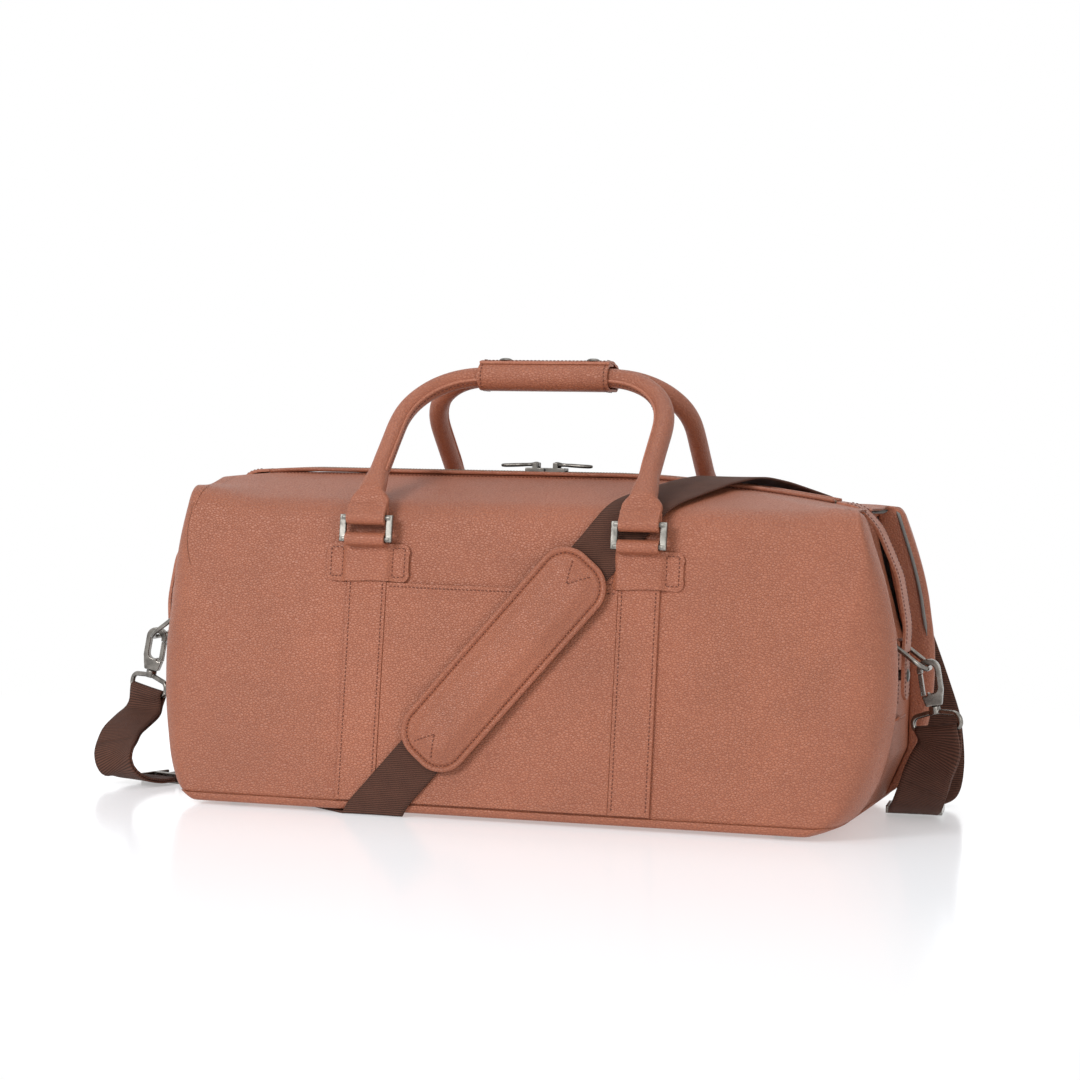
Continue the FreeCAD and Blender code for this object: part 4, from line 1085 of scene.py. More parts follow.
class BAG_OT_handles(bpy.types.Operator):
    """Rolled leather handles, flattened into spades that loop round the rings"""
    bl_idname = "bag.handles"
    bl_label = "Handles"

    def execute(self, context):
        for face, side in FACES:
            self.handle(face, side)
        return {"FINISHED"}

    def handle(self, face, side):
        body = f"{face}_grab_handle"
        line = eased_line(resampled(handle_line(side), 5), 3)
        plane = handle_across(side)
        rise = Vector((0, -side * math.sin(SPADE_LEAN), math.cos(SPADE_LEAN)))
        stations = []
        for i, p in enumerate(line):
            wide = tangent(line, i).cross(plane).normalized()
            end = min(i, len(line) - 1 - i) * 5.0
            flare = 1 - ease(end / 26)
            worn = HANDLE_R + 0.16 * wave(p, 14, 6.6)
            stations.append((p, wide, plane, worn + 3.0 * flare, worn - 0.9 * flare, 2.0 + 0.5 * flare))
        bar = face_point(side, 0, STANDOFF, BAR_S + PITCH)
        thin = ACROSS.cross(rise)
        if thin.dot(plane) < 0:
            thin = -thin
        # height above the bar, half width, half depth and squareness of the flattened spade
        spade = ((22.0, 11.2, 6.2, 2.6), (19.5, 13.6, 5.0, 2.8), (17.0, 15.5, 4.0, 3.0),
                 (14.0, 16.3, 3.3, 3.4), (10.5, 15.9, 2.9, 4.0), (7.6, 15.5, 2.7, 4.5))

        def foot(hand_side, neighbour):
            """The spade widens along the same axis as the tube, so that the skin doesn't twist."""
            wide = ACROSS * math.copysign(1, neighbour[1].x)
            centre = Vector((hand_side * SPREAD, bar.y, bar.z))
            return [(centre + rise * up, wide, thin, *section) for up, *section in spade]

        stations = foot(-1, stations[0])[::-1] + stations + foot(1, stations[-1])
        smoothed(piece(f"{face}_handle_leather", section_tube(stations), body, leather_finish(),
                       [f"{face}_handle"]))
        self.loops(face, side, body, bar, rise)
        self.seam(face, side, body, line, plane)

    def loops(self, face, side, body, bar, rise):
        """The spade's two plies meet round the ring's upper bar."""
        out = Vector((0, side * math.cos(SPADE_LEAN), math.sin(SPADE_LEAN)))
        ply = [Vector((10.6, 2.15)), Vector((7.0, 2.3)), Vector((4.0, 3.0))]
        path = ply + arc((0, 0), LOOP_MID, 0, -180, 18) + [Vector((p.x, -p.y)) for p in reversed(ply)]
        for hand, sx in HANDS:
            x0 = sx * SPREAD
            centre = Vector((x0, bar.y, bar.z))
            bm = strip_skin(path, 15.6, lambda x, o, s: centre + Vector((x, 0, 0)) + rise * s + out * o,
                            lambda p: p - (centre + rise * 3))
            obj = piece(f"{face}_handle_loop_{hand}", bm, body, cut_leather())
            thicken(obj, LOOP_SKIN, 0.5, True, 0.0, 1)
            row = [(centre + Vector((x, 0, 0)) + rise * 8.6 + out * 3.35, out) for x in (-13.6, 13.6)]
            stitches(f"{face}_handle_loop_{hand}_sewing", [row], body)

    def seam(self, face, side, body, line, plane):
        """The edges of the handle's leather are sewn together along its inner side."""
        low_middle = sum(line, Vector((0, 0, 0))) / len(line) - UP * 60
        inner, rows = [], []
        for i, p in enumerate(line[4:-4], 4):
            t = tangent(line, i)
            way = t.cross(plane).normalized()
            if way.dot(low_middle - p) < 0:
                way = -way
            tilt = (way * 0.9 - plane * 0.42 * (1 if plane.y * side < 0 else -1)).normalized()
            inner.append((p + tilt * HANDLE_R, tilt, t))
        for v, (p, way, t) in enumerate(inner):
            grow = ease(min(v, len(inner) - 1 - v) / 3)
            rows.append((p + way * (0.5 * grow - 0.6), way, t.cross(way), 1.1, 1.25, 3.0))
        piece(f"{face}_handle_seam", section_tube(rows, 12), body, edge_finish())
        row = []
        for p, way, t in inner:
            beside = t.cross(way)
            row.append((p + beside * 2.6 - way * 0.4, (way + beside * 0.3).normalized()))
        stitches(f"{face}_handle_sewing", [row], body, pitch=3.4)


# ---------------------------------------------------------------- grip
GRIP_HALF = 54.0
# the domed cap of a snap: (radius, height) down to its rim
SNAP_CAP = [(0, 1.9), (2.6, 1.75), (4.2, 1.2), (5.2, 0.5)]


class BAG_OT_grip(bpy.types.Operator):
    """Grip sewn round the front handle, with a flap that wraps the back one and snaps on top"""
    bl_idname = "bag.grip"
    bl_label = "Grip"

    def execute(self, context):
        r, cy = 9.9, 8.2

        def turn(centre, start, stop, count=20):
            angles = [math.radians(mix(start, stop, i / count)) for i in range(count + 1)]
            return [Vector((centre + r * math.cos(angle), r * math.sin(angle))) for angle in angles]

        wrap = [Vector((9.2, -r)), Vector((0, -r)), *turn(-cy, 270, 90), Vector((-4, r)), Vector((-0.3, r))]
        over = ((5.5, 0.9), (2.5, 2.0), (0, 2.4), (-7, 2.5), (-13, 1.4))
        flap = [Vector((10.0, -r + 0.1)), *turn(cy, -76, 90), *(Vector((y, r + up)) for y, up in over)]
        for name, path, body in (("grip_wrap", wrap, "front_grab_handle"), ("grip_flap", flap, "grip_cover")):
            path = resampled(path, 1.6)
            span = len(path) - 1

            def place(u, v):
                spot = path[min(round(v * span), span)]
                x = mix(-GRIP_HALF, GRIP_HALF, u)
                soft = 0.45 * wave(Vector((x, spot.x * 2, spot.y * 2)), 26, 4.4)
                bulge = 1 + 0.02 * soft
                return Vector((x, spot.x * bulge, HANDLE_TOP + spot.y * bulge))

            def away(p):
                return Vector((0, p.y - max(min(p.y, cy), -cy), p.z - HANDLE_TOP))

            obj = piece(f"{name}_leather", skin(64, span, place, away), body, cut_leather(),
                        [name])
            thicken(obj, 2.2, 0.3, True, 0.0, 1)
            lines = []
            for edge in (-1, 1):
                line = []
                for a, b in zip(path[1:], path[2:-1]):
                    way = Vector((0, b.y - a.y, a.x - b.x)).normalized()
                    p = Vector((edge * (GRIP_HALF - 3), a.x, HANDLE_TOP + a.y))
                    if way.dot(away(p)) < 0:
                        way = -way
                    line.append((p + way * 1.2, way))
                lines.append(line)
            if name == "grip_flap":
                lip = Vector((0, -10.4, HANDLE_TOP + 13.0))
                lines.append([(lip + Vector((x, 0, 0)), UP) for x in (-GRIP_HALF + 3, GRIP_HALF - 3)])
            stitches(f"{name}_sewing", lines, body)
        for i, x in enumerate((-34.0, 39.0)):
            top = Vector((x, -6.0, HANDLE_TOP + 13.4))
            lathed(f"grip_snap_{i + 1}", SNAP_CAP + [(5.5, 0.0)], top, UP, "grip_cover", gunmetal_finish(),
                   [] if i else ["grip_snaps"])
        return {"FINISHED"}


def lathed(name, profile, at, axis, body, finish, nodes):
    """A turned part from (radius, height) pairs, spun round an axis at a point."""
    bm = bmesh.new()
    verts = [bm.verts.new((r * MM, 0, h * MM)) for r, h in profile]
    edges = [bm.edges.new(pair) for pair in zip(verts, verts[1:])]
    bmesh.ops.spin(bm, geom=verts + edges, axis=UP, cent=(0, 0, 0), angle=2 * math.pi, steps=40,
                   use_merge=True)
    bmesh.ops.remove_doubles(bm, verts=bm.verts, dist=1e-6)
    turn = axis.to_track_quat("Z", "Y").to_matrix().to_4x4()
    turn.translation = at * MM
    bmesh.ops.transform(bm, matrix=turn, verts=bm.verts)
    bmesh.ops.recalc_face_normals(bm, faces=bm.faces)
    return piece(name, bm, body, finish, nodes)


# ---------------------------------------------------------------- shoulder strap
WEB_HALF, WEB = 19.0, 1.8
WEB_Z = 2.4
STRAP_ANGLE = math.radians(40)
STRAP_FOOT_X = -94.0
LEFT_ADJUSTER, RIGHT_ADJUSTER = Vector((-320, -8, 0)), Vector((291, 66, 0))
PLY = WEB_Z + WEB + 0.15


def compass(degrees):
    return Vector((math.cos(math.radians(degrees)), math.sin(math.radians(degrees)), 0))


LEFT_HEADING, RIGHT_HEADING = compass(253), compass(275)


def sideways(heading):
    return Vector((-heading.y, heading.x, 0))


def flat_row(x, y, z, half, up):
    return Vector((x - half, y, z)), Vector((x + half, y, z)), Vector(up).normalized()


def cross_row(p, w, up, half=WEB_HALF):
    return p - w * half, p + w * half, up


def raised(p, z):
    return Vector((p.x, p.y, z))


def webbing_rows():
    """Rows of the long run, each (left, right, towards the bag)."""
    w = sideways(LEFT_HEADING)
    rows = [cross_row(raised(LEFT_ADJUSTER - LEFT_HEADING * step, WEB_Z + WEB), w, -UP)
            for step in (-16.6, 18, 29)]
    spot = LEFT_ADJUSTER - LEFT_HEADING * 50
    under = Vector((spot.x - STRAP_FOOT_X, spot.y + HALF_DEPTH, 0)).normalized()
    fold = -(under + LEFT_HEADING).normalized()
    half = WEB_HALF / abs(fold.cross(under).z)
    out = (under - fold * under.dot(fold)).normalized()
    rows += [cross_row(raised(spot, WEB_Z + 0.2 + WEB), fold, -UP, half),
             cross_row(raised(spot + out * 2, WEB_Z), fold, -out, half),
             cross_row(raised(spot, 0.2), fold, UP, half)]
    front = WEB_HALF / math.cos(STRAP_ANGLE)
    slant = under.x / under.y
    rows.append(flat_row(STRAP_FOOT_X + slant * 16, -HALF_DEPTH + 16, 0.2, WEB_HALF / abs(under.y), UP))
    rows.append(flat_row(STRAP_FOOT_X, -HALF_DEPTH - 1.4, 0.2, front, (0, 0.5, 0.87)))
    p = face_point(-1, STRAP_FOOT_X, 4.75, 2.5)
    rows.append(flat_row(p.x, p.y, p.z, front, (0, 0.9, 0.43)))
    for s in (8, 222):
        p = face_point(-1, STRAP_FOOT_X + s * math.tan(STRAP_ANGLE), 4.75, s)
        rows.append(flat_row(p.x, p.y, p.z, front, (0, COS, -SIN)))
    start = STRAP_FOOT_X + 222 * math.tan(STRAP_ANGLE)
    ridge = 212.0 - start
    # over the edge and the roof: out past the face, below the zip, share of the way across, up direction
    over = [(3.66, 28.0, 0.07, 0.85, -0.5), (-3.84, 19.7, 0.12, 0.5, -0.86), (-13.34, 16.0, 0.17, 0.3, -0.95),
            (-63.34, 3.6, 0.40, 0.2, -0.98), (-93.34, -0.4, 0.50, 0.04, -1.0)]
    for past, depth, share, uy, uz in over:
        y = face_y(240) + past
        rows.append(flat_row(start + ridge * share * 0.96, -y, ZIP_Z - depth, front, (0, uy, uz)))
    for past, depth, share, uy, uz in reversed(over):
        y = face_y(240) + past
        rows.append(flat_row(start + ridge * (1 - share * 0.96), y, ZIP_Z - depth, front, (0, -uy, uz)))
    for s, x in ((222, 212.0), (150, 264.0)):
        p = face_point(1, x, 4.75, s)
        rows.append(flat_row(p.x, p.y, p.z, front, (0, -COS, -SIN)))
    down = ((283, 126.5, 112, -1.0, -0.02), (297, 128.5, 72, -1.0, 0.0), (301, 127.5, 38, -0.97, 0.24),
            (300.5, 122.0, 17, -0.72, 0.69), (298, 110.0, 5.0, -0.3, 0.95))
    for x, y, z, uy, uz in down:
        rows.append(flat_row(x, y, z, WEB_HALF * 1.04, (0, uy, uz)))
    w = sideways(RIGHT_HEADING)
    rows += [cross_row(raised(RIGHT_ADJUSTER - RIGHT_HEADING * step, WEB_Z), w, UP) for step in (29, -16.6)]
    return rows


def refined(rows, step, rounds):
    """Rows every few millimetres, with their corners eased."""
    fine = [rows[0]]
    for a, b in zip(rows, rows[1:]):
        length = ((a[0] + a[1]) / 2 - (b[0] + b[1]) / 2).length
        count = max(int(length / step), 1)
        fine += [tuple(a[k].lerp(b[k], i / count) for k in range(3)) for i in range(1, count + 1)]
    return list(zip(*(eased_line([row[k] for row in fine], rounds) for k in range(3))))


def even_rows(rows, step=3.0):
    """The same ribbon in rows that stand equally far apart, so that its ribs keep their pitch."""
    lengths = lengths_along([(a + b) / 2 for a, b, _ in rows])
    count = max(int(lengths[-1] / step), 2)
    out, k = [], 0
    for i in range(count + 1):
        want = lengths[-1] * i / count
        while k < len(rows) - 2 and lengths[k + 1] < want:
            k += 1
        share = (want - lengths[k]) / max(lengths[k + 1] - lengths[k], 1e-6)
        out.append(tuple(rows[k][n].lerp(rows[k + 1][n], min(max(share, 0.0), 1.0)) for n in range(3)))
    return out


def ribbon_piece(name, rows, body, nodes=()):
    """Webbing through rows, slightly cupped, with its woven ribs crosswise."""
    rows = even_rows(rows)
    last = len(rows) - 1
    length = lengths_along([(a + b) / 2 for a, b, _ in rows])[-1]

    def place(u, v):
        a, b, up = rows[round(v * last)]
        return a.lerp(b, u) + up.normalized() * (0.9 + 0.25 * math.sin(math.pi * u))

    bm = skin(10, last, place, UP, (2 * WEB_HALF, length))
    obj = piece(name, bm, body, webbing_finish(), nodes)
    return thicken(obj, WEB - 0.3, 0.0, False, 0.0)


def loop_rows(route, low_across, side):
    """Both plies of the strap's end, from the adjuster up and round the eye."""
    eye, eye_across, drop = EYES[side]
    path = [*route, eye + drop * 16, eye + drop * 10]
    fine = resampled(path[:2], 3.0) + eased_line(resampled(path[1:], 3.0), 8)[1:]
    slim = 18.5
    rows, back = [], []
    count = len(fine)
    for i, p in enumerate(fine):
        k = i / (count - 1)
        w = low_across.lerp(eye_across, k).normalized()
        t = tangent(fine, i)
        n = w.cross(t).normalized()
        a = t.cross(n).normalized()
        half = mix(WEB_HALF, slim, max(0, 2 * k - 1))
        rows.append(cross_row(p + n * (0.15 + WEB), a, -n, half))
        back.append(cross_row(p - n * (0.15 + WEB), a, n, half))
    wrap = 2.1 + 0.35 + WEB
    facing = eye_across.cross(-drop).normalized()
    for angle in range(-10, 191, 20):
        a = math.radians(angle)
        d = facing * math.cos(a) - drop * math.sin(a)
        rows.append(cross_row(eye + d * wrap, eye_across, -d, slim))
    return rows, list(reversed(back)), count


EYES = {}


def hang_eyes():
    """The eyes' low bars, where the strap's ends loop: (middle, along the bar, down the strap)."""
    for side, bow_x in ((-1, -340.24), (1, 309.24)):
        tilt = Matrix.Rotation(math.radians(side * -10), 3, "Y") @ Matrix.Rotation(math.radians(-22), 3, "Z")
        low = Vector((bow_x, 0, 119.95)) - tilt @ UP * 47.1
        EYES[side] = (low, tilt @ ACROSS, tilt @ -UP)


class BAG_OT_webbing(bpy.types.Operator):
    """Shoulder strap of ribbed webbing, under, up the front, over the back and down"""
    bl_idname = "bag.webbing"
    bl_label = "Webbing"

    def execute(self, context):
        hang_eyes()
        rows = webbing_rows()
        rows = refined(rows[:8], 4.0, 0) + refined(rows[7:-1], 4.0, 7)[1:] + refined(rows[-2:], 4.0, 0)[1:]
        pressed = []
        for a, b, up in rows:
            if b.y < 0 and 176 < b.z < 258:
                # the free edge is nipped in behind the ring and the handle's foot
                nip = 2.2 * math.exp(-((b.z - 214) / 16.0) ** 2) + 1.4 * math.exp(-((b.z - 248) / 8.0) ** 2)
                b = b + up.normalized() * nip
            pressed.append((a, b, up))
        ribbon_piece("shoulder_strap_webbing", pressed, "root", ["shoulder_webbing"])
        ends = (("left", -1, LEFT_ADJUSTER, LEFT_HEADING, 32.2,
                 ((-336, -53, 6.5), (-344, -64, 15), (-351, -58, 28), (-354, -38, 43))),
                ("right", 1, RIGHT_ADJUSTER, RIGHT_HEADING, 30.2,
                 ((299, 22, 10), (306, 8, 26), (312, 2, 44))))
        for hand, side, adjuster, heading, straight, points in ends:
            route = [raised(adjuster + heading * run, PLY) for run in (18.2, straight)]
            route += [Vector(p) for p in points]
            rows, back, count = loop_rows(route, sideways(heading), side)
            cut = int(count * 0.55)
            lower = ribbon_piece(f"{hand}_strap_end_outer", rows[:cut + 1], None, [f"{hand}_strap_loop"])
            inner = ribbon_piece(f"{hand}_strap_end_inner", back[len(back) - 1 - cut:], None)
            upper = ribbon_piece(f"{hand}_strap_end_loop", rows[cut:] + back[:len(back) - cut], None)
            for obj in (lower, inner):
                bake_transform(obj)
            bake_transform(upper)
        return {"FINISHED"}


# half width, half length, corner radius, and the height of its middle up the face
PAD_A, PAD_B, PAD_R, PAD_UP = 29.0, 101.5, 23.0, 120.0


def pad_point(a, b, out):
    """A point of the shoulder pad's own plan, a across it and b along it, out from the face."""
    c, s = math.cos(STRAP_ANGLE), math.sin(STRAP_ANGLE)
    middle_x = STRAP_FOOT_X + PAD_UP * math.tan(STRAP_ANGLE)
    return face_point(-1, middle_x + a * c + b * s, out, PAD_UP - a * s + b * c)


def pad_plan(u, v, half_a, half_b, radius):
    """(across, along) of a grid spot squeezed into a rounded rectangle."""
    b = -half_b * math.cos(math.pi * v)
    past = max(abs(b) - half_b + radius, 0.0)
    width = half_a - radius + math.sqrt(max(radius ** 2 - past ** 2, 0.0))
    return -width * math.cos(math.pi * u), b


def inset_of(a, b, half_a, half_b, radius):
    """Distance inside a rounded rectangle's edge."""
    qa, qb = max(abs(a) - half_a + radius, 0.0), max(abs(b) - half_b + radius, 0.0)
    inside = min(max(abs(a) - half_a, abs(b) - half_b) + radius, 0.0)
    return radius - math.hypot(qa, qb) - inside


def pad_height(a, b):
    """How far the padded top stands out from the face: a flat rim, a sewn valley, then the filling."""
    d = inset_of(a, b, PAD_A, PAD_B, PAD_R)
    rim = 9.0 + 0.8 * ease(d / 1.2) - 1.5 * math.exp(-((d - 4.4) / 1.1) ** 2)
    return rim + 4.6 * ease((d - 4.6) / 15) + 0.35 * wave(Vector((a, b, 0)), 34, 7.7) * ease(d / 12)


def outline_line(half_a, half_b, radius, inset, height, count=10):
    """Closed line inset from a rounded rectangle, as (point, outward) pairs."""
    out = []
    r = radius - inset
    for ca, cb, start in ((1, -1, -90), (1, 1, 0), (-1, 1, 90), (-1, -1, 180)):
        for i in range(count + 1):
            ang = math.radians(start + 90 * i / count)
            a, b = ca * (half_a - radius) + r * math.cos(ang), cb * (half_b - radius) + r * math.sin(ang)
            out.append((pad_point(a, b, height(a, b)), face_out(-1)))
    out.append(out[0])
    # long straight runs follow the surface in short steps
    fine = []
    for (p, w), (q, _) in zip(out, out[1:]):
        steps = max(int((q - p).length / 8), 1)
        fine += [(p.lerp(q, i / steps), w) for i in range(steps)]
    return fine + [out[-1]]


class BAG_OT_pad(bpy.types.Operator):
    """Padded leather rest that slides along the shoulder strap"""
    bl_idname = "bag.pad"
    bl_label = "Shoulder pad"

    def execute(self, context):
        def top(u, v):
            a, b = pad_plan(u, v, PAD_A, PAD_B, PAD_R)
            return pad_point(a, b, pad_height(a, b))

        obj = piece("shoulder_pad_top", skin(72, 150, top, face_out(-1)), "strap_pad",
                    [smooth_leather_finish(), edge_finish()], ["shoulder_pad"])
        thicken(obj, 1.5, 0.3, False, -1.0, 1)

        def under(u, v):
            a, b = pad_plan(u, v, PAD_A, PAD_B, PAD_R)
            return pad_point(a, b, 7.3)

        obj = piece("shoulder_pad_underside", skin(24, 60, under, -face_out(-1)), "strap_pad",
                    [suede_finish(), edge_finish()], ["pad_backing"])
        thicken(obj, 1.2, 0.2, False, 0.0, 1)

        def sleeve(u, v):
            a, b = pad_plan(u, v, PAD_A - 5, PAD_B - 7, PAD_R - 5)
            return pad_point(a, b, 5.9 + 0.7 * ease((abs(a) - 17) / 6))

        bm = skin(24, 60, sleeve, -face_out(-1))
        obj = piece("shoulder_pad_sleeve", bm, "strap_pad", suede_finish())
        thicken(obj, 1.2, 0.2, False, 0.0)
        lines = [outline_line(PAD_A, PAD_B, PAD_R, 4.4, lambda a, b: pad_height(a, b) + 0.1)]
        for end in (-1, 1):
            wide, deep = end * (PAD_B - 9), end * (PAD_B - 25)
            vee = resampled([Vector((-9.5, wide)), Vector((0, deep)), Vector((9.5, wide))], 3.0)
            lines.append([(pad_point(p.x, p.y, pad_height(p.x, p.y) + 0.1), face_out(-1)) for p in vee])
        stitches("shoulder_pad_sewing", lines, "strap_pad")
        return {"FINISHED"}


# ---------------------------------------------------------------- zip
class BAG_OT_zip(bpy.types.Operator):
    """Zip tapes, metal teeth, two sliders and their pulls"""
    bl_idname = "bag.zip"
    bl_label = "Zip"

    def execute(self, context):
        left, right = zip_span()
        tape = cloth_finish("herringbone_zip_tape", "3B2A22", 0.45)
        for name, side in FACES:
            def place(u, v):
                x, y = mix(left, right, v), mix(0.5, 14.0, u)
                return Vector((x, side * y, top_z(x) - 1.75 - 0.1 * max(y - 9, 0)))
            obj = piece(f"{name}_zip_tape", skin(6, 110, place, UP), "root", tape,
                        ["zip_tapes"] if side < 0 else [])
            thicken(obj, 0.8, 0.15, False, 0.0)
        bm = bmesh.new()
        pitch = 2.6
        for i in range(int((right - left) / pitch)):
            for side in (-1, 1):
                x = left + (i + (0.5 if side > 0 else 0.0)) * pitch + 0.8
                slope = math.atan2(top_z(x + 1) - top_z(x - 1), 2.0)
                place = Matrix.Translation(Vector((x, side * 1.35, top_z(x))) * MM)
                size = Matrix.Diagonal((1.15 * MM, 3.2 * MM, 2.4 * MM, 1.0))
                bmesh.ops.create_cube(bm, size=1.0, matrix=place @ Matrix.Rotation(-slope, 4, "Y") @ size)
        bmesh.ops.bevel(bm, geom=list(bm.edges), offset=0.22 * MM, segments=1, affect="EDGES", profile=0.5,
                        material=-1)
        brass = metal_finish("antique_brass_teeth", "8A7F6C", 0.32)
        piece("zip_teeth", bm, "root", brass, ["zip_chain"], smooth=False)
        for hand, sx in HANDS:
            cast(f"zip_slider_{hand}", f"{hand}_slider", gunmetal_finish(),
                 f"{hand}_zip_slider_cast", 0.3)
            self.pull(hand, sx)
        return {"FINISHED"}

    def pull(self, hand, sx):
        """A tab with a waist and a rounded tip, which lies outwards over the zip."""
        start = Vector((sx * 8.6, 0, 270.45))
        # distance from the slider, half width, half thickness
        shape = ((-2.4, 2.8, 1.6), (-1.0, 3.4, 2.4), (1.2, 3.4, 2.4), (3.4, 2.4, 1.5), (7.0, 2.0, 1.4),
                 (10.0, 3.0, 1.5), (13.0, 3.6, 1.6), (24.0, 3.9, 1.6), (28.0, 3.3, 1.5), (29.6, 1.8, 1.0))
        stations = [(start + Vector((sx * run, 0, -ease(run / 28))), Vector((0, 1, 0)), UP, width, depth, 3.0)
                    for run, width, depth in shape]
        smoothed(piece(f"zip_pull_{hand}_cast", section_tube(stations, 20), f"{hand}_pull",
                       gunmetal_finish(), [f"zip_pull_{hand}"]))


# ---------------------------------------------------------------- ends
def end_strip(name, path, half_width, side, body, node, thickness=2.6, width_at=lambda v: 1.0):
    """A strip of leather that runs along an XZ path, which is its middle surface."""
    last = len(path) - 1

    def place(u, v):
        p = path[round(v * last)]
        y = mix(-half_width, half_width, u) * width_at(v)
        crown = 0.5 * (1 - (y / half_width) ** 2)
        return Vector((side * (p.x + crown), y, p.z + 0.2 * crown))

    obj = piece(name, skin(10, last, place, Vector((side, 0, 0.4))), body, cut_leather(), [node])
    thicken(obj, thickness, 0.4, True, 0.0, 1)


# how far out the end walls stand behind the tabs, with the gap that the tabs keep from them
TAB_X = {-1: 312.3, 1: 281.3}
# from there to the middle of the D-ring's bar
BAR_OUT = 3.98


class BAG_OT_ends(bpy.types.Operator):
    """Wings that carry the zip's ends down, their snap tabs, and the D-rings' side tabs"""
    bl_idname = "bag.ends"
    bl_label = "Ends"

    def execute(self, context):
        for hand, side in HANDS:
            self.wing(hand, side)
            self.side_tab(hand, side)
        cast("stud_bases", "root", gunmetal_finish(), "stud_bases_turned", 0.4)
        cast("base_feet", "root", gunmetal_finish(), "base_feet_turned", 0.5, 4)
        return {"FINISHED"}

    def wing(self, hand, side):
        out = TAB_X[side] + 2 * BAR_OUT + 0.8
        roof_x = notch(side) - 12
        start, edge = top_z(side * roof_x) - 1.5, top_z(side * (roof_x + 16)) - 1.0
        under = [Vector((out, 0, 132)), Vector((out + 1, 0, 152)), Vector((out - 6, 0, 190)),
                 Vector((mix(out, roof_x, 0.42), 0, 226)), Vector((roof_x + 16, 0, edge)),
                 Vector((roof_x, 0, start))]
        line = eased_line(resampled(under, 3), 5)
        path = []
        for i, p in enumerate(line):
            t = tangent(line, i)
            path.append(p + Vector((t.z, 0, -t.x)) * 1.6)
        end_strip(f"{hand}_zip_wing_leather", path, 14.0, side, "root", f"{hand}_zip_wing")
        lines = []
        for y in (-11.2, 11.2):
            row = []
            for i in range(2, len(path) - 2):
                t = tangent(path, i)
                way = Vector((side * t.z, 0, -t.x))
                row.append((Vector((side * (path[i].x + 0.3), y, path[i].z)) + way * 1.35, way))
            lines.append(row)
        stitches(f"{hand}_zip_wing_sewing", lines, "root")
        tab = [Vector((out + 1.5, 0, mix(130.4, 95.0, i / 14))) for i in range(15)]

        def rounded(v):
            low = max(v - 0.72, 0.0) / 0.28
            return math.sqrt(max(1 - low ** 2, 0.02))

        body, away = f"{hand}_tab", Vector((side, 0, 0))
        end_strip(f"{hand}_wing_tab_leather", tab, 12.0, side, body, f"{hand}_wing_tab", width_at=rounded)

        def beside_edge(y, share):
            return Vector((side * (out + 3.2), y * rounded(share * 0.93), mix(128, 98.2, share)))

        lines = [[(beside_edge(y, i / 14), away) for i in range(15)] for y in (-9.2, 9.2)]
        stitches(f"{hand}_wing_tab_sewing", lines, body)
        cap = Vector((side * (out + 3.0), 0, 114.0))
        lathed(f"{hand}_stud_cap_turned", SNAP_CAP + [(5.5, -0.2)], cap, away, body, gunmetal_finish(),
               [f"{hand}_stud_cap"])

    def side_tab(self, hand, side):
        x0 = TAB_X[side]
        bar = Vector((x0 + BAR_OUT, 0, 138.0))
        curl = Vector((x0 + 5.0, 0, 84.0))

        def ring(centre, radius, start, stop, count):
            angles = [math.radians(mix(start, stop, i / count)) for i in range(count + 1)]
            return [centre + Vector((math.cos(angle), 0, math.sin(angle))) * radius for angle in angles]

        rise = [Vector((x0 + 1.3, 0, z)) for z in range(90, 131, 8)]
        path = ring(curl, 3.7, -20, -180, 10) + rise + ring(bar, 2.98, 175, -120, 18)
        end_strip(f"{hand}_side_tab_leather", path, 14.0, side, "root", f"{hand}_side_tab", 1.9)
        away = Vector((side, 0, 0))
        lines = [[(Vector((side * (x0 + 2.9), y, z)), away) for z in (90, 130)] for y in (-11, 11)]
        stitches(f"{hand}_side_tab_sewing", lines, "root")


# ---------------------------------------------------------------- metal
class BAG_OT_hardware(bpy.types.Operator):
    """Rings, D-rings, snap hooks, swivel eyes and slide buckles"""
    bl_idname = "bag.hardware"
    bl_label = "Hardware"

    def execute(self, context):
        for face, _ in FACES:
            for hand, _ in HANDS:
                ring = f"{face}_ring_{hand}"
                cast(ring, f"{face}_rings", nickel_finish(), f"{ring}_cast", 0.4, 4)
        pieces = (("d_ring", "ring", 0.4), ("swivel_eye", "eye", 0.4), ("hook", "snap_hook", 0.4),
                  ("gate_pin", "snap_hook", 0.2), ("hook_gate", "gate", 0.3),
                  ("adjuster", "slide_buckle", 0.4))
        for hand, _ in HANDS:
            for node, body, grain in pieces:
                cast(f"{hand}_{node}", f"{hand}_{body}", antique_finish(),
                     f"{hand}_{node}_cast", grain)
        return {"FINISHED"}


class BAG_OT_inner(bpy.types.Operator):
    """Board inside the base, and the cords inside the handles"""
    bl_idname = "bag.inner"
    bl_label = "Inner parts"

    def execute(self, context):
        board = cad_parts["base_board"]
        board.data.materials.clear()
        board.data.materials.append(board_finish())
        cord = cloth_finish("twisted_cotton_cord", "C4B59C", 1.4)
        for face, side in FACES:
            line = resampled(handle_line(side), 6)[2:-2]
            plane = handle_across(side)
            stations = [(p, tangent(line, i).cross(plane).normalized(), plane, CORD_R, CORD_R, 2.0)
                        for i, p in enumerate(line)]
            piece(f"{face}_handle_core", section_tube(stations, 16), f"{face}_grab_handle", cord,
                  [f"{face}_handle_cord"])
        return {"FINISHED"}


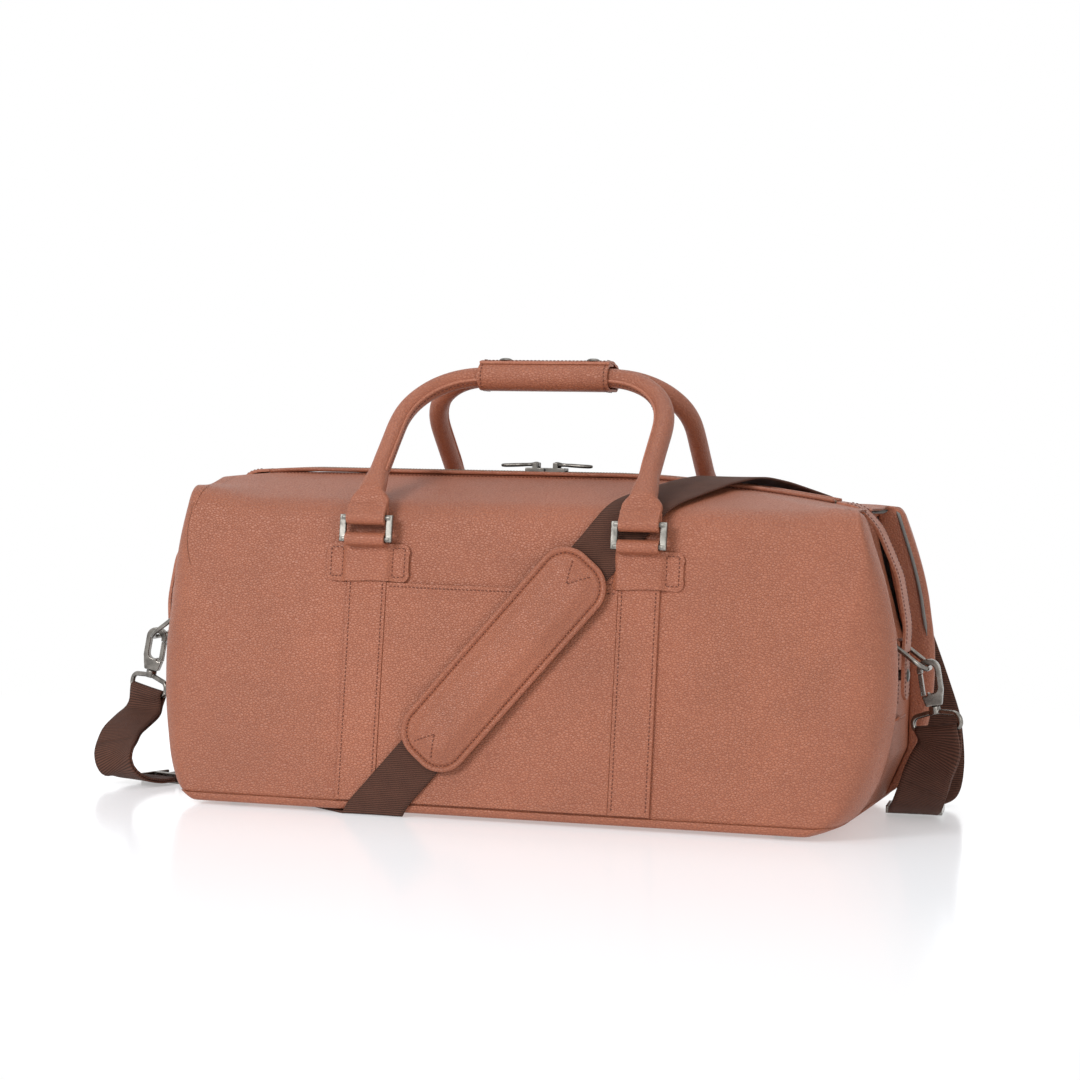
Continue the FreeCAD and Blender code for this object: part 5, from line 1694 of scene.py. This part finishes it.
class BAG_OT_bindings(bpy.types.Operator):
    """Grey cloth binding down the folded edges at the right-hand end"""
    bl_idname = "bag.bindings"
    bl_label = "Bindings"

    def execute(self, context):
        last = 47
        for name, side in FACES:
            stations = []
            for i in range(last + 1):
                p = softened(panel_point(1 - EDGE_U * 0.82, mix(0.38, 0.70, i / last)))
                grow = ease(min(i, last - i) / 4)
                stations.append((Vector((p.x - 0.6, p.y * -side, p.z)), ACROSS, Vector((0, 1, 0)),
                                 1.2 * grow + 0.2, 1.4 * grow + 0.2, 2.2))
            piece(f"{name}_edge_binding", section_tube(stations, 12), "root", lining_finish())
        return {"FINISHED"}


CLASSES = [
    BagSizes, BagColours,
    BAG_OT_stage, BAG_OT_panels, BAG_OT_gussets, BAG_OT_base, BAG_OT_lining, BAG_OT_welts,
    BAG_OT_bindings, BAG_OT_pocket, BAG_OT_straps, BAG_OT_plates, BAG_OT_handles, BAG_OT_grip, BAG_OT_webbing,
    BAG_OT_pad, BAG_OT_zip, BAG_OT_ends, BAG_OT_hardware, BAG_OT_inner,
]


class BAG_PT_sidebar(bpy.types.Panel):
    """Lists the bag's pieces in the sidebar"""
    bl_label = "Weekender bag"
    bl_space_type = "VIEW_3D"
    bl_region_type = "UI"
    bl_category = "Bag"

    def draw(self, context):
        column = self.layout.column()
        for cls in CLASSES:
            if issubclass(cls, bpy.types.Operator):
                column.operator(cls.bl_idname)


def register():
    for cls in CLASSES + [BAG_PT_sidebar]:
        bpy.utils.register_class(cls)
    bpy.types.Scene.bag_sizes = bpy.props.PointerProperty(type=BagSizes)
    bpy.types.Scene.bag_colours = bpy.props.PointerProperty(type=BagColours)


def unregister():
    del bpy.types.Scene.bag_colours
    del bpy.types.Scene.bag_sizes
    for cls in reversed(CLASSES + [BAG_PT_sidebar]):
        bpy.utils.unregister_class(cls)


def main():
    register()
    for cls in CLASSES:
        if issubclass(cls, bpy.types.Operator):
            group, name = cls.bl_idname.split(".")
            getattr(getattr(bpy.ops, group), name)()
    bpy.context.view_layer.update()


if __name__ == "__main__":
    main()
